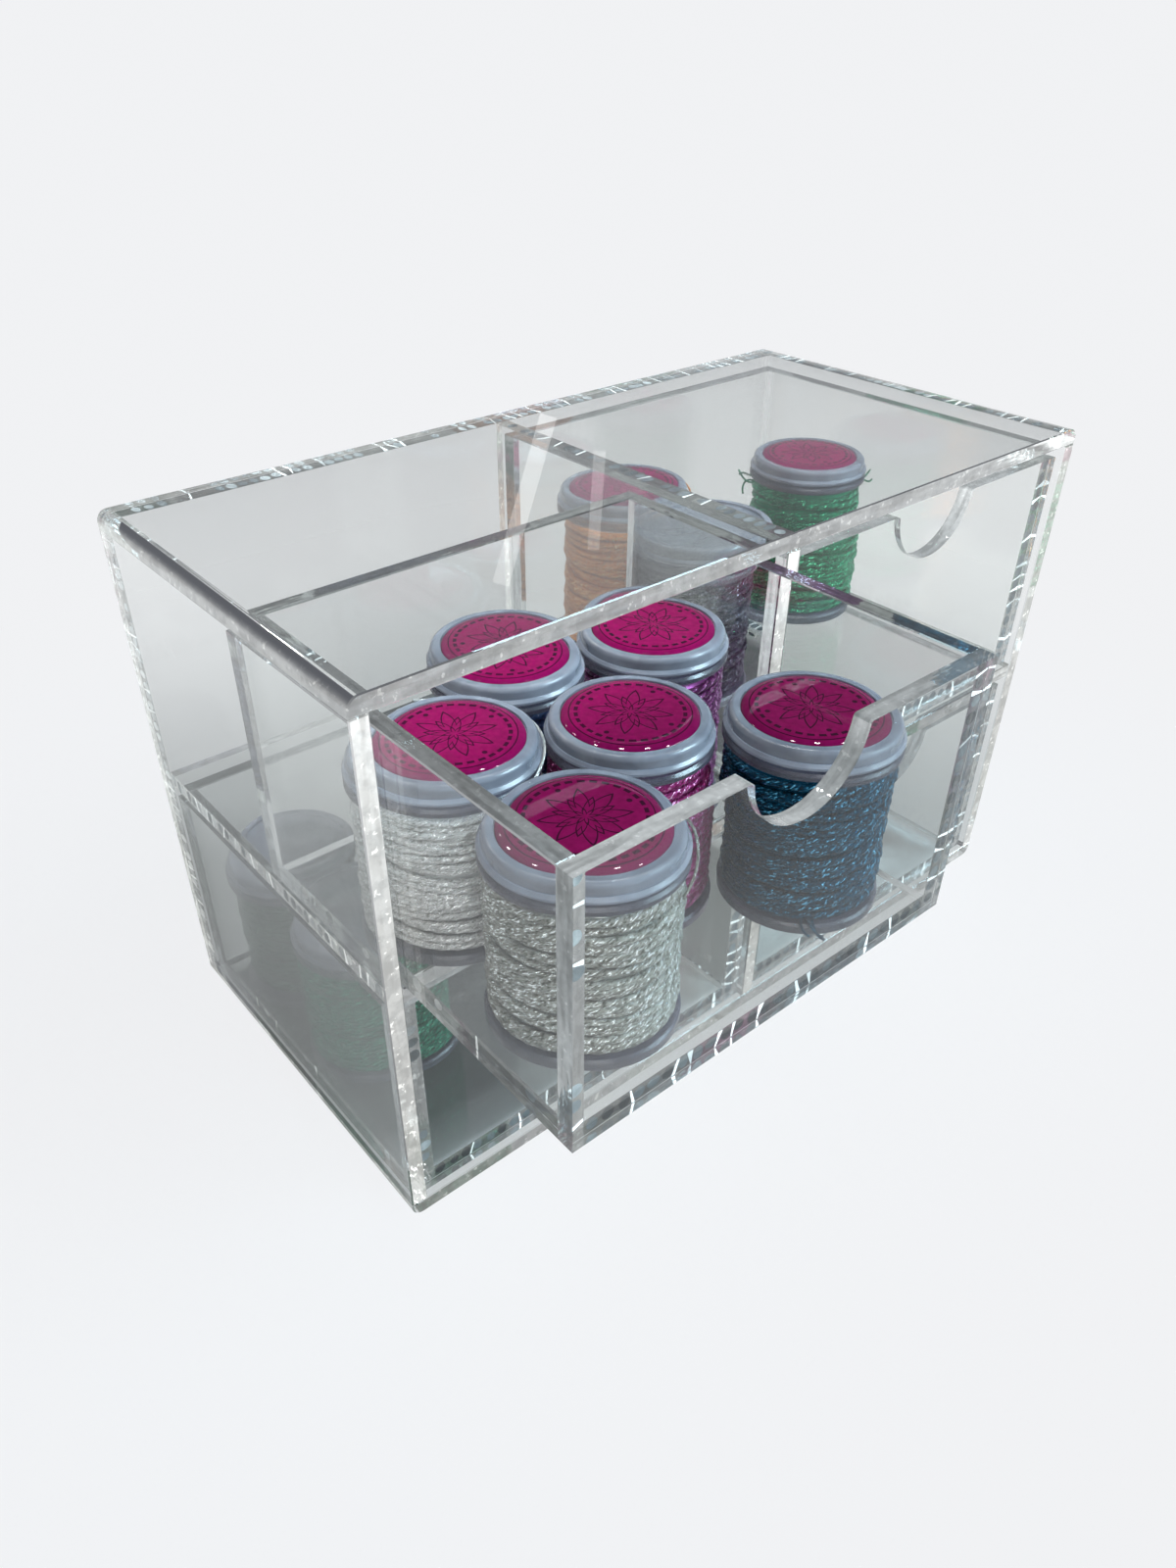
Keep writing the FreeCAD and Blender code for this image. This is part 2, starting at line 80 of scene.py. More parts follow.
# --- Floor and light ---------------------------------------------------------------------------
# A pale seamless sheet lies under the box, with a painted shadow where the box covers it.  Soft
# light falls from a wide ceiling screen and a cool window to the right, in a room that is dim above
# eye level, and a cluster of small bright ceiling lamps shows as sparks on the domes, the edges and
# the thread.

FLOOR_COLOUR = (0.877, 0.885, 0.902, 1)
FLOOR_HALF = 40.0
FLOOR_LEVEL = -0.2 * MM
PAPER_GRAIN = 900.0
PAPER_COLOURS = [(0.3, (0.86, 0.87, 0.885, 1)), (0.7, (0.88, 0.885, 0.9, 1))]
PAPER_ROUGHNESS = 0.9
# Under the box the floor's colour is a painted shadow: dark at the left and paler to the right and
# along the front, where some light gets in.
PAINTED_SHADOW_UNDER_BOX = [(0.22, (0.055, 0.06, 0.06, 1)), (0.62, (0.60, 0.61, 0.615, 1))]
FRONT_LIGHT_REACH, FRONT_LIGHT_SHARE = 32 * MM, 0.45
CONTACT_BLUR = 5 * MM
CONTACT_INSET = 3 * MM
# Round the box the floor is shaded: a little by real shading where it is seen bare, and with
# painted shade where it is seen through the sheets, most where they mirror it.  A painted patch of
# shade lies off the right front corner.
OPEN_SHADING = 0.09
SHADE_REACH, MIRRORED_REACH = 160 * MM, 320 * MM
BOX_SHADE, MIRRORED_SHADE = (0.44, 0.455, 0.46, 1), (0.12, 0.125, 0.13, 1)
SHADE_SHIFT = (-4 * MM, 36 * MM)
SHADE_FALLOFF = 1.6
PAINTED_SHADE_PATCH, PAINTED_SHADE_PATCH_REACH, PAINTED_SHADE_PATCH_SHARE = (90 * MM, -140 * MM, 0.0), 210 * MM, 0.9


def material(name):
    """A new node material: returns it with its node tree and its Principled shader."""
    made = bpy.data.materials.new(name)
    made.use_nodes = True
    tree = made.node_tree
    return made, tree, next(node for node in tree.nodes if node.type == "BSDF_PRINCIPLED")


def add(tree, kind, links=None, **values):
    """Add a node; values are its properties, links gives each input a socket or a number."""
    node = tree.nodes.new(kind)
    for key, value in values.items():
        setattr(node, key, value)
    for key, value in (links or {}).items():
        if isinstance(value, bpy.types.NodeSocket):
            tree.links.new(value, node.inputs[key])
        else:
            node.inputs[key].default_value = value
    return node


def computed(tree, operation, *inputs, clamp=False):
    """The output of one Math node on sockets or numbers."""
    node = add(tree, "ShaderNodeMath", dict(enumerate(inputs)), operation=operation)
    node.use_clamp = clamp
    return node.outputs[0]


def stretch(tree, value, start, end, at_start, at_end, **values):
    """A value between start and end, carried over to between at_start and at_end."""
    return add(tree, "ShaderNodeMapRange", {0: value, 1: start, 2: end, 3: at_start, 4: at_end},
               **values).outputs[0]


def blend_colours(tree, share, first, second):
    """The first colour where share is 0 and the second where it is 1."""
    return add(tree, "ShaderNodeMix", {0: share, 6: first, 7: second}, data_type="RGBA").outputs[2]


def ramp(tree, factor, stops):
    """A colour ramp through (position, colour) stops; returns its colour output."""
    node = add(tree, "ShaderNodeValToRGB", {0: factor})
    elements = node.color_ramp.elements
    while len(elements) < len(stops):
        elements.new(0.5)
    for element, (position, colour) in zip(elements, stops):
        element.position = position
        element.color = colour
    return node.outputs[0]


def speckle(tree, place, scale, detail=2.0, distortion=0.0):
    """Soft random patches, scale of them to a unit of place."""
    return add(tree, "ShaderNodeTexNoise", {"Vector": place, "Scale": scale, "Detail": detail,
                                            "Distortion": distortion}).outputs[0]


def mesh_object(name, points, faces, finish, smooth=True):
    """An object at the origin.  Faces is a list of arrays, each with one row of corners a face."""
    mesh = bpy.data.meshes.new(name)
    corners = [row for block in faces for row in np.asarray(block).tolist()]
    mesh.from_pydata(np.asarray(points, float).reshape(-1, 3).tolist(), [], corners)
    mesh.polygons.foreach_set("use_smooth", np.full(len(mesh.polygons), smooth))
    mesh.materials.append(finish)
    made = bpy.data.objects.new(name, mesh)
    bpy.context.scene.collection.objects.link(made)
    return made


floor_finish, tree, shader = material("pale_paper")
spot = add(tree, "ShaderNodeTexCoord").outputs["Object"]
across = add(tree, "ShaderNodeSeparateXYZ", {0: spot})
case_low, case_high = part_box("case_bottom")
# How far each place lies outside the box, and outside the shade's shifted middle, by axis.
outside, beyond = [], []
for axis in range(2):
    off = computed(tree, "ABSOLUTE", across.outputs[axis])
    outside.append(computed(tree, "SUBTRACT", off, case_high[axis]))
    off = computed(tree, "ABSOLUTE", computed(tree, "SUBTRACT", across.outputs[axis], SHADE_SHIFT[axis]))
    beyond.append(computed(tree, "MAXIMUM", computed(tree, "SUBTRACT", off, case_high[axis]), 0.0))
inside = computed(tree, "MAXIMUM", *outside)
distance = add(tree, "ShaderNodeVectorMath", {0: add(tree, "ShaderNodeCombineXYZ", {
    0: beyond[0], 1: beyond[1]}).outputs[0]}, operation="LENGTH").outputs["Value"]
# Where the box covers the floor, the paper takes the painted shadow.
covered = stretch(tree, inside, -CONTACT_INSET - CONTACT_BLUR, -CONTACT_INSET, 1.0, 0.0,
                  interpolation_type="SMOOTHSTEP")
paper = ramp(tree, speckle(tree, spot, PAPER_GRAIN), PAPER_COLOURS)
# Painted shadow under the box: dark at the left, paler to the right and along the front.
from_left = stretch(tree, across.outputs[0], case_low[0], case_high[0], 0.0, 1.0)
from_front = stretch(tree, across.outputs[1], case_low[1], case_low[1] + FRONT_LIGHT_REACH,
                     FRONT_LIGHT_SHARE, 0.0)
painted_shadow_under_box = ramp(tree, computed(tree, "MAXIMUM", from_left, from_front), PAINTED_SHADOW_UNDER_BOX)
tree.links.new(blend_colours(tree, covered, paper, painted_shadow_under_box), shader.inputs["Base Color"])
shader.inputs["Roughness"].default_value = PAPER_ROUGHNESS
shader.inputs["Specular IOR Level"].default_value = 0.0

# The open floor glows evenly in its own colour, and rays that have met the box see it with painted
# shade.
path = add(tree, "ShaderNodeLightPath").outputs
mirrored = path["Is Reflection Ray"]
reach = computed(tree, "MULTIPLY_ADD", mirrored, MIRRORED_REACH - SHADE_REACH, SHADE_REACH)
nearness = computed(tree, "POWER", stretch(tree, distance, 0.0, reach, 1.0, 0.0), SHADE_FALLOFF)
# A painted patch of shade off the right front corner, seen only by rays that have met the box.
off_patch = add(tree, "ShaderNodeVectorMath", {0: spot, 1: PAINTED_SHADE_PATCH}, operation="DISTANCE")
patch = stretch(tree, off_patch.outputs["Value"], 0.0, PAINTED_SHADE_PATCH_REACH, PAINTED_SHADE_PATCH_SHARE, 0.0,
                interpolation_type="SMOOTHSTEP")
darkness = computed(tree, "MAXIMUM", nearness, patch)
shaded = computed(tree, "MULTIPLY", darkness, computed(tree, "SUBTRACT", 1.0, path["Is Camera Ray"]))
shade = blend_colours(tree, mirrored, BOX_SHADE, MIRRORED_SHADE)
glow = add(tree, "ShaderNodeEmission", {"Color": blend_colours(tree, shaded, FLOOR_COLOUR, shade),
                                        "Strength": 1.0})
share = computed(tree, "MAXIMUM", computed(tree, "MULTIPLY", nearness, OPEN_SHADING), covered)
blend = add(tree, "ShaderNodeMixShader", {0: share, 1: glow.outputs[0], 2: shader.outputs[0]})
output = next(node for node in tree.nodes if node.type == "OUTPUT_MATERIAL")
tree.links.new(blend.outputs[0], output.inputs["Surface"])
floor_corners = [(x * FLOOR_HALF, y * FLOOR_HALF, FLOOR_LEVEL)
                 for x, y in ((-1, -1), (1, -1), (1, 1), (-1, 1))]
floor = mesh_object("floor", floor_corners, [[(0, 1, 2, 3)]], floor_finish)

# Sky colour by the sine of its height: floor-coloured at the horizon, dim overhead.  Seen directly
# it is a plain backdrop of the floor's colour.
SKY = [(0.0, FLOOR_COLOUR), (0.06, FLOOR_COLOUR), (0.2, (0.34, 0.35, 0.37, 1)),
       (0.42, (0.22, 0.23, 0.245, 1)), (0.62, (0.11, 0.115, 0.13, 1)), (1.0, (0.09, 0.095, 0.105, 1))]
world = bpy.data.worlds.new("studio")
world.use_nodes = True
bpy.context.scene.world = world
bpy.context.scene.view_settings.view_transform = "Standard"
direction = add(world.node_tree, "ShaderNodeTexCoord").outputs["Generated"]
height = add(world.node_tree, "ShaderNodeSeparateXYZ", {0: direction}).outputs[2]
background = next(node for node in world.node_tree.nodes if node.type == "BACKGROUND")
seen = add(world.node_tree, "ShaderNodeLightPath").outputs["Is Camera Ray"]
backdrop = blend_colours(world.node_tree, seen, ramp(world.node_tree, height, SKY), FLOOR_COLOUR)
world.node_tree.links.new(backdrop, background.inputs[0])

BOX_MIDDLE = (0.0, 0.0, 0.05)
WINDOW_PLACE, WINDOW_SIZE, WINDOW_POWER = (1.55, -1.6, 1.5), (1.1, 1.4), 115.0
SCREEN_PLACE, SCREEN_SIZE, SCREEN_POWER = (-1.4, -1.6, 3.0), (2.6, 2.6), 74.0
SPARK_SIZE, SPARK_POWER = (0.15, 0.15), 12.0
WINDOW_COLOUR, SCREEN_COLOUR = (0.62, 0.88, 1.0), (1, 1, 0.99)
SPARK_COLOUR, SLOT_COLOUR = (1, 0.99, 0.97), (1, 0.97, 0.95)
LAMP_DISTANCE = 3.3
# Bearing and rise of each small lamp in degrees; for the narrow ones, which draw long glints on
# the sheets, also width, height, lean in degrees and power.
SPARK_LAMPS = [(84, 36), (91, 47), (101, 66), (60, 74), (20, 70), (-12, 62)]
SLOT_LAMPS = [(53.0, 22.2, 0.05, 0.5, -18.0, 0.045), (49.0, 22.2, 0.035, 0.28, -3.0, 0.013)]


def above(bearing, rise, distance):
    """The place at a distance from the origin, in a direction given in degrees."""
    bearing, rise = math.radians(bearing), math.radians(rise)
    return (distance * math.cos(rise) * math.cos(bearing), distance * math.cos(rise) * math.sin(bearing),
            distance * math.sin(rise))


def lamp(name, place, size, power, colour, lean=0.0):
    """A flat lamp of size (width, height) at place, facing the box and leaning by some degrees."""
    data = bpy.data.lights.new(name, "AREA")
    data.shape = "RECTANGLE"
    data.size, data.size_y = size
    data.energy = power
    data.color = colour
    made = bpy.data.objects.new(name, data)
    turn = Vector(np.subtract(BOX_MIDDLE, place)).to_track_quat("-Z", "Y").to_matrix().to_4x4()
    made.matrix_world = Matrix.Translation(place) @ turn @ Matrix.Rotation(math.radians(lean), 4, "Z")
    bpy.context.scene.collection.objects.link(made)
    return made


window = lamp("window", WINDOW_PLACE, WINDOW_SIZE, WINDOW_POWER, WINDOW_COLOUR)
window.visible_transmission = False
screen = lamp("ceiling_screen", SCREEN_PLACE, SCREEN_SIZE, SCREEN_POWER, SCREEN_COLOUR)
screen.visible_glossy = False
for index, (bearing, rise) in enumerate(SPARK_LAMPS):
    spark = lamp(f"ceiling_lamp_{index}", above(bearing, rise, LAMP_DISTANCE), SPARK_SIZE, SPARK_POWER,
                 SPARK_COLOUR)
    spark.data.shape = "ELLIPSE"
    spark.visible_diffuse = False
for index, (bearing, rise, width, height, lean, power) in enumerate(SLOT_LAMPS):
    slot_lamp = lamp(f"far_lamp_{index}", above(bearing, rise, LAMP_DISTANCE), (width, height), power,
                     SLOT_COLOUR, lean)
    slot_lamp.visible_diffuse = False


# --- Acrylic panels ----------------------------------------------------------------------------
# Every panel is clear cast acrylic, laser cut and then flame polished, so its faces are clean and
# its narrow edges are a little wavy; the light on those edges is partly a painted glow and painted
# streaks of reflection.  The frame's own panels are kept: they only get this finish, one for each
# direction in which a panel can be thin.

ACRYLIC_IOR = 1.49
SHADOW_STRENGTH = 0.12
# Past this many surfaces or mirrorings light goes straight on; past this many sheets crossed in
# that way it ends in a painted dim grey glow in place of the light beyond.
DEEP_RAYS, DEEP_MIRRORS, LAST_SHEET = 8.5, 2.5, 6.5
PAINTED_DEEP_GLOW = (0.24, 0.26, 0.255, 1)
BLACK = (0, 0, 0, 1)
# Marks of polishing, in patches to a metre; along an edge the ripples are drawn out.
WIPE_SCALE, SAW_SCALE, RIPPLE_SCALE, GLIMMER_SCALE = 55.0, 900.0, 120.0, 420.0
RIPPLE_DRAWN = 7
RIPPLE_STRENGTH, RIPPLE_HEIGHT = 0.4, 0.3 * MM
EDGE_ROUGHNESS, SAW_ROUGHNESS = 0.01, 0.07
# Each of these carries the first two values of a mark over to the last two.
EDGE_TONES, SMEAR_TONES = (0.35, 0.8, 1.0, 0.0), (0.5, 0.8, 0.0, 0.05)
# Long streaks darken the edge's tint as a painted reflection of dark surroundings; small flecks darken
# it too.
STREAK_TONES, WEAR_TONES = (0.38, 0.56, 0.4, 1.0), (0.40, 0.56, 0.7, 1.0)
# Patches and flashes of the edges' painted glow.
GLOW_PATCH_TONES, FLASH_TONES = (0.42, 0.58, 0.72, 1.0), (0.63, 0.68, 0.0, 0.9)


def group(name, inputs, outputs):
    """An empty shader node group with float, colour or vector sockets given as (name, kind)."""
    made = bpy.data.node_groups.new(name, "ShaderNodeTree")
    for way, sockets in (("INPUT", inputs), ("OUTPUT", outputs)):
        for label, kind in sockets:
            made.interface.new_socket(label, in_out=way, socket_type=f"NodeSocket{kind}")
    return made, made.nodes.new("NodeGroupInput").outputs, made.nodes.new("NodeGroupOutput").inputs


# Polished sheet: faint wiping marks on the faces; along the edges ripples, small pits, painted
# streaks of reflection darkening the tint, and a painted glow standing for the light that runs
# inside the sheet and leaves there, by the axis that the edge faces.
sheet_group, given, result = group(
    "polished_sheet",
    [("Thin Direction", "Vector"), ("Face Colour", "Color"), ("Edge Colour", "Color"),
     ("Edge Light", "Vector"), ("Light Colour", "Color")],
    [("Colour", "Color"), ("Roughness", "Float"), ("Normal", "Vector"), ("Glow", "Color")])
spot = add(sheet_group, "ShaderNodeTexCoord")
place, normal = spot.outputs["Object"], spot.outputs["Normal"]
facing = add(sheet_group, "ShaderNodeVectorMath", {0: normal, 1: given["Thin Direction"]},
             operation="DOT_PRODUCT").outputs["Value"]
edge = stretch(sheet_group, computed(sheet_group, "ABSOLUTE", facing), *EDGE_TONES)
wipe = speckle(sheet_group, place, WIPE_SCALE, 5.0, 1.2)
smear = stretch(sheet_group, wipe, *SMEAR_TONES)
saw = speckle(sheet_group, place, SAW_SCALE, 3.0)
finer_across = add(sheet_group, "ShaderNodeVectorMath", {
    0: given["Thin Direction"], 1: (RIPPLE_DRAWN,) * 3, 2: (1, 1, 1)},
    operation="MULTIPLY_ADD").outputs[0]
drawn_out = add(sheet_group, "ShaderNodeVectorMath", {0: place, 1: finer_across},
                operation="MULTIPLY").outputs[0]
ripple = speckle(sheet_group, drawn_out, RIPPLE_SCALE)
# Painted streaks of reflection and small flecks darken the edge's tint.
painted_streaks_and_flecks = computed(sheet_group, "MULTIPLY", stretch(sheet_group, ripple, *STREAK_TONES),
                stretch(sheet_group, saw, *WEAR_TONES))
streaked_edge_colour = add(sheet_group, "ShaderNodeVectorMath", {0: given["Edge Colour"], "Scale": painted_streaks_and_flecks},
           operation="SCALE").outputs[0]
sheet_group.links.new(blend_colours(sheet_group, edge, given["Face Colour"], streaked_edge_colour), result["Colour"])
edge_rough = computed(sheet_group, "MULTIPLY_ADD", saw, SAW_ROUGHNESS, EDGE_ROUGHNESS)
rough = add(sheet_group, "ShaderNodeMix", {0: edge, 2: smear, 3: edge_rough})
sheet_group.links.new(rough.outputs[0], result["Roughness"])
relief = computed(sheet_group, "MULTIPLY", ripple, edge)
bump = add(sheet_group, "ShaderNodeBump", {"Strength": RIPPLE_STRENGTH, "Distance": RIPPLE_HEIGHT,
                                           "Height": relief})
sheet_group.links.new(bump.outputs[0], result["Normal"])
squared = add(sheet_group, "ShaderNodeVectorMath", {0: normal, 1: normal},
              operation="MULTIPLY").outputs[0]
by_axis = add(sheet_group, "ShaderNodeVectorMath", {0: squared, 1: given["Edge Light"]},
              operation="DOT_PRODUCT").outputs["Value"]
glimmer = speckle(sheet_group, place, GLIMMER_SCALE, 3.0)
drifting = computed(sheet_group, "ADD", stretch(sheet_group, glimmer, *GLOW_PATCH_TONES),
                    stretch(sheet_group, saw, *FLASH_TONES))
# The painted glow of the edges, in patches and flashes.
lit = computed(sheet_group, "MULTIPLY", computed(sheet_group, "MULTIPLY", by_axis, drifting), edge)
glow = add(sheet_group, "ShaderNodeVectorMath", {0: given["Light Colour"], "Scale": lit},
           operation="SCALE").outputs[0]
sheet_group.links.new(glow, result["Glow"])


def let_light_through(tree, shader, colour, glow=BLACK):
    """Pale shadows under clear pieces, and no black where light has crossed very many sheets.

    After the first surfaces, which bend the light, the next let it straight on, and the last
    that it can reach shows a painted dim grey glow in place of the light beyond.
    """
    path = add(tree, "ShaderNodeLightPath")
    pale = computed(tree, "MULTIPLY", path.outputs["Is Shadow Ray"], 1 - SHADOW_STRENGTH)
    bent = computed(tree, "GREATER_THAN", path.outputs["Ray Depth"], DEEP_RAYS)
    mirrored = computed(tree, "GREATER_THAN", path.outputs["Glossy Depth"], DEEP_MIRRORS)
    deep = computed(tree, "MAXIMUM", bent, mirrored)
    last = computed(tree, "GREATER_THAN", path.outputs["Transparent Depth"], LAST_SHEET)
    straight = computed(tree, "MULTIPLY", deep, computed(tree, "SUBTRACT", 1.0, last))
    open_share = computed(tree, "MAXIMUM", pale, straight)
    tree.links.new(computed(tree, "SUBTRACT", 1.0, open_share, clamp=True), shader.inputs["Alpha"])
    tree.links.new(blend_colours(tree, last, colour, BLACK), shader.inputs["Base Color"])
    tree.links.new(blend_colours(tree, last, glow, PAINTED_DEEP_GLOW), shader.inputs["Emission Color"])
    shader.inputs["Emission Strength"].default_value = 1.0


def acrylic(name, thin, edge_light, light_colour):
    """Clear sheet that is thin one way; edge_light is how much painted glow its edges give by axis."""
    made, tree, shader = material(name)
    surface = add(tree, "ShaderNodeGroup", {}, node_tree=sheet_group)
    for socket, value in enumerate((thin, FACE_COLOUR, EDGE_COLOUR, edge_light, light_colour)):
        surface.inputs[socket].default_value = value
    tree.links.new(surface.outputs["Roughness"], shader.inputs["Roughness"])
    tree.links.new(surface.outputs["Normal"], shader.inputs["Normal"])
    shader.inputs["IOR"].default_value = ACRYLIC_IOR
    shader.inputs["Transmission Weight"].default_value = 1.0
    let_light_through(tree, shader, surface.outputs["Colour"], surface.outputs["Glow"])
    return made


THIN_DIRECTIONS = {"x": (1, 0, 0), "y": (0, 1, 0), "z": (0, 0, 1)}
FACE_COLOUR, EDGE_COLOUR = (0.972, 0.984, 0.979, 1), (0.86, 0.93, 0.92, 1)
# Painted glow standing for the light that leaves the edges facing along x, y and z, by the way in
# which the sheet is thin.
CASE_EDGE_LIGHT = {"x": (0.0, 0.5, 0.06), "y": (0.08, 0.0, 0.08), "z": (0.26, 0.24, 0.0)}
DRAWER_EDGE_LIGHT = {"x": (0.0, 0.10, 0.04), "y": (0.09, 0.0, 0.09), "z": (0.06, 0.06, 0.0)}
CASE_LIGHT_COLOUR, DRAWER_LIGHT_COLOUR = (1.0, 1.0, 0.965, 1), (0.95, 1.0, 0.99, 1)
case_sheet = {way: acrylic(f"case_sheet_{way}", thin, CASE_EDGE_LIGHT[way], CASE_LIGHT_COLOUR)
              for way, thin in THIN_DIRECTIONS.items()}
drawer_sheet = {way: acrylic(f"drawer_sheet_{way}", thin, DRAWER_EDGE_LIGHT[way], DRAWER_LIGHT_COLOUR)
                for way, thin in THIN_DIRECTIONS.items()}


def finish_node(node, finish):
    """Give a node of the frame its finish."""
    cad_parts[node].data.materials.clear()
    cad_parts[node].data.materials.append(finish)


CASE_PANELS = {
    "case_bottom": "z", "case_top": "z", "case_shelf": "z", "case_left_side": "x",
    "case_right_side": "x", "upper_divider": "x", "lower_divider": "x", "case_back": "y",
}
for node, way in CASE_PANELS.items():
    finish_node(node, case_sheet[way])

DRAWERS = ["upper_left", "upper_right", "lower_left", "lower_right"]
DRAWER_PANELS = {"front": "y", "back": "y", "left_side": "x", "right_side": "x", "floor": "z"}
for drawer in DRAWERS:
    for panel, way in DRAWER_PANELS.items():
        finish_node(f"{drawer}_drawer_{panel}", drawer_sheet[way])


# --- Cement bubbles ----------------------------------------------------------------------------
# The panels are joined with solvent cement, which leaves rows of flat trapped bubbles between
# them.  They look like dark round cells with bright slivers between, whose brightness is a painted
# highlight with a painted glow, and they ride with the panels they lie in.

CASE_BUBBLE_PITCH, DRAWER_BUBBLE_PITCH = 2.1 * MM, 2.6 * MM
CELL_THICKNESS, SLIVER_THICKNESS = 0.02 * MM, 0.03 * MM
CELL_CORNERS = 12
SLIVER_STEPS = 4
# Random ranges: along the seam as shares of the pitch, across it as shares of its width.  The
# taper is a share of a sliver's own thickness.
CELL_SHIFT, CELL_HALF, CELL_REACH, CELL_MIDDLE = 0.07, (0.32, 0.44), (0.30, 0.46), (0.44, 0.56)
SLIVER_SPAN, SLIVER_HALF, SLIVER_TAPER, SLIVER_LEAN = (0.05, 0.95), (0.06, 0.12), 0.95, 0.22
SLIVER_SHARE = 0.4
CELL_TONE_SPREAD, SLIVER_TONES = 0.3, (0.5, 1.0)


def flat_prisms(outlines, thickness, start, along, across):
    """Closed flat prisms on outlines given as (piece, corner, (along, across)), turning left."""
    normal = np.cross(along, across) * thickness / 2
    place = np.asarray(start) + outlines[..., :1] * along + outlines[..., 1:] * across
    points = np.stack([place + normal, place - normal], 1)
    index = np.arange(points[..., 0].size).reshape(points.shape[:-1])
    top, bottom = index[:, 0], index[:, 1]
    sides = np.stack([bottom, np.roll(bottom, -1, 1), np.roll(top, -1, 1), top], -1)
    return points.reshape(-1, 3), [top, bottom[:, ::-1], sides.reshape(-1, 4)]


def bubble_row(start, along, across, length, width, pitch, paleness, fullness, dice):
    """Outlines of the cells of one seam and of the slivers between them, with their tones.

    Cell: centre + (half * cos a, reach * sin a), half and reach being random shares of the pitch
    and the width.  Sliver: v runs across the seam, and its two sides lie thick * (1 + taper *
    (2v - 1)) left and right of a line that leans from one side of the seam to the other.
    """
    count = max(int(length / pitch), 2)
    step = length / count
    centres = (np.arange(count) + 0.5 + dice.uniform(-CELL_SHIFT, CELL_SHIFT, count))[:, None] * step
    half = dice.uniform(*CELL_HALF, count)[:, None] * step
    reach = dice.uniform(*CELL_REACH, count)[:, None] * width
    middle = dice.uniform(*CELL_MIDDLE, count)[:, None] * width
    turn = np.linspace(0, 2 * np.pi, CELL_CORNERS, endpoint=False)
    cells = np.stack([centres + half * np.cos(turn), middle + reach * np.sin(turn)], -1)
    v = np.linspace(*SLIVER_SPAN, SLIVER_STEPS)
    thick = dice.uniform(*SLIVER_HALF, count)[:, None] * step
    taper = dice.uniform(-SLIVER_TAPER, SLIVER_TAPER, count)[:, None]
    lean = dice.uniform(-SLIVER_LEAN, SLIVER_LEAN, count)[:, None] * step
    line = centres + step / 2 + lean * (2 * v - 1)
    bow = thick * (1 + taper * (2 * v - 1))
    level = np.broadcast_to(v * width, line.shape)
    slivers = np.concatenate([np.stack([line + bow, level], -1),
                              np.stack([line - bow, level], -1)[:, ::-1]], 1)[:-1]
    cell_tone = paleness + dice.uniform(0.0, CELL_TONE_SPREAD, count)
    sliver_tone = dice.uniform(*SLIVER_TONES, count - 1)
    shown = dice.random(count) < fullness
    bright = dice.random(count - 1) < SLIVER_SHARE * fullness
    blocks = []
    for outlines, tones, thickness in ((cells[shown], cell_tone[shown], CELL_THICKNESS),
                                       (slivers[bright], sliver_tone[bright], SLIVER_THICKNESS)):
        points, faces = flat_prisms(outlines, thickness, start, along, across)
        blocks.append((points, faces, np.repeat(tones, 2 * outlines.shape[1])))
    return blocks


def seam_between(first, second):
    """The thin gap between two panels: its corner, its two directions, its length and width."""
    low_a, high_a = (np.array(corner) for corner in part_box(first))
    low_b, high_b = (np.array(corner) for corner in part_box(second))
    low, high = np.maximum(low_a, low_b), np.minimum(high_a, high_b)
    size = high - low
    gap = int(np.argmin(size))
    around = [axis for axis in range(3) if axis != gap]
    along, across = sorted(around, key=lambda axis: -size[axis])
    corner = np.minimum(low, high)
    corner[gap] = (low[gap] + high[gap]) / 2
    unit = np.eye(3)
    return corner, unit[along], unit[across], size[along], size[across]


# Bubble colours by tone, from a dark cell to a bright sliver painted as a highlight, and the
# painted glow of the slivers.
BUBBLE_COLOURS = [(0.0, (0.012, 0.015, 0.017, 1)), (0.3, (0.13, 0.15, 0.16, 1)),
                  (0.6, (0.6, 0.62, 0.62, 1)), (0.9, (0.95, 0.96, 0.95, 1))]
SLIVER_PAINTED_GLOW = [(0.4, BLACK), (0.9, (0.42, 0.43, 0.42, 1))]
DRIFT_SCALE, DRIFT_SHARE = 700.0, 0.2
WAVE_SCALE, WAVE_SHARE, BUBBLE_ROUGHNESS = 1500.0, 0.3, 0.05

bubble_finish, tree, shader = material("cement_bubbles")
spot = add(tree, "ShaderNodeTexCoord").outputs["Object"]
tone = add(tree, "ShaderNodeAttribute", {}, attribute_name="tone").outputs["Fac"]
drift = speckle(tree, spot, DRIFT_SCALE)
shown_tone = computed(tree, "MULTIPLY_ADD", drift, DRIFT_SHARE,
                      computed(tree, "SUBTRACT", tone, DRIFT_SHARE / 2))
tree.links.new(ramp(tree, shown_tone, BUBBLE_COLOURS), shader.inputs["Base Color"])
tree.links.new(ramp(tree, shown_tone, SLIVER_PAINTED_GLOW), shader.inputs["Emission Color"])
shader.inputs["Emission Strength"].default_value = 1.0
wave = speckle(tree, spot, WAVE_SCALE)
tree.links.new(computed(tree, "MULTIPLY_ADD", wave, WAVE_SHARE, BUBBLE_ROUGHNESS),
               shader.inputs["Roughness"])

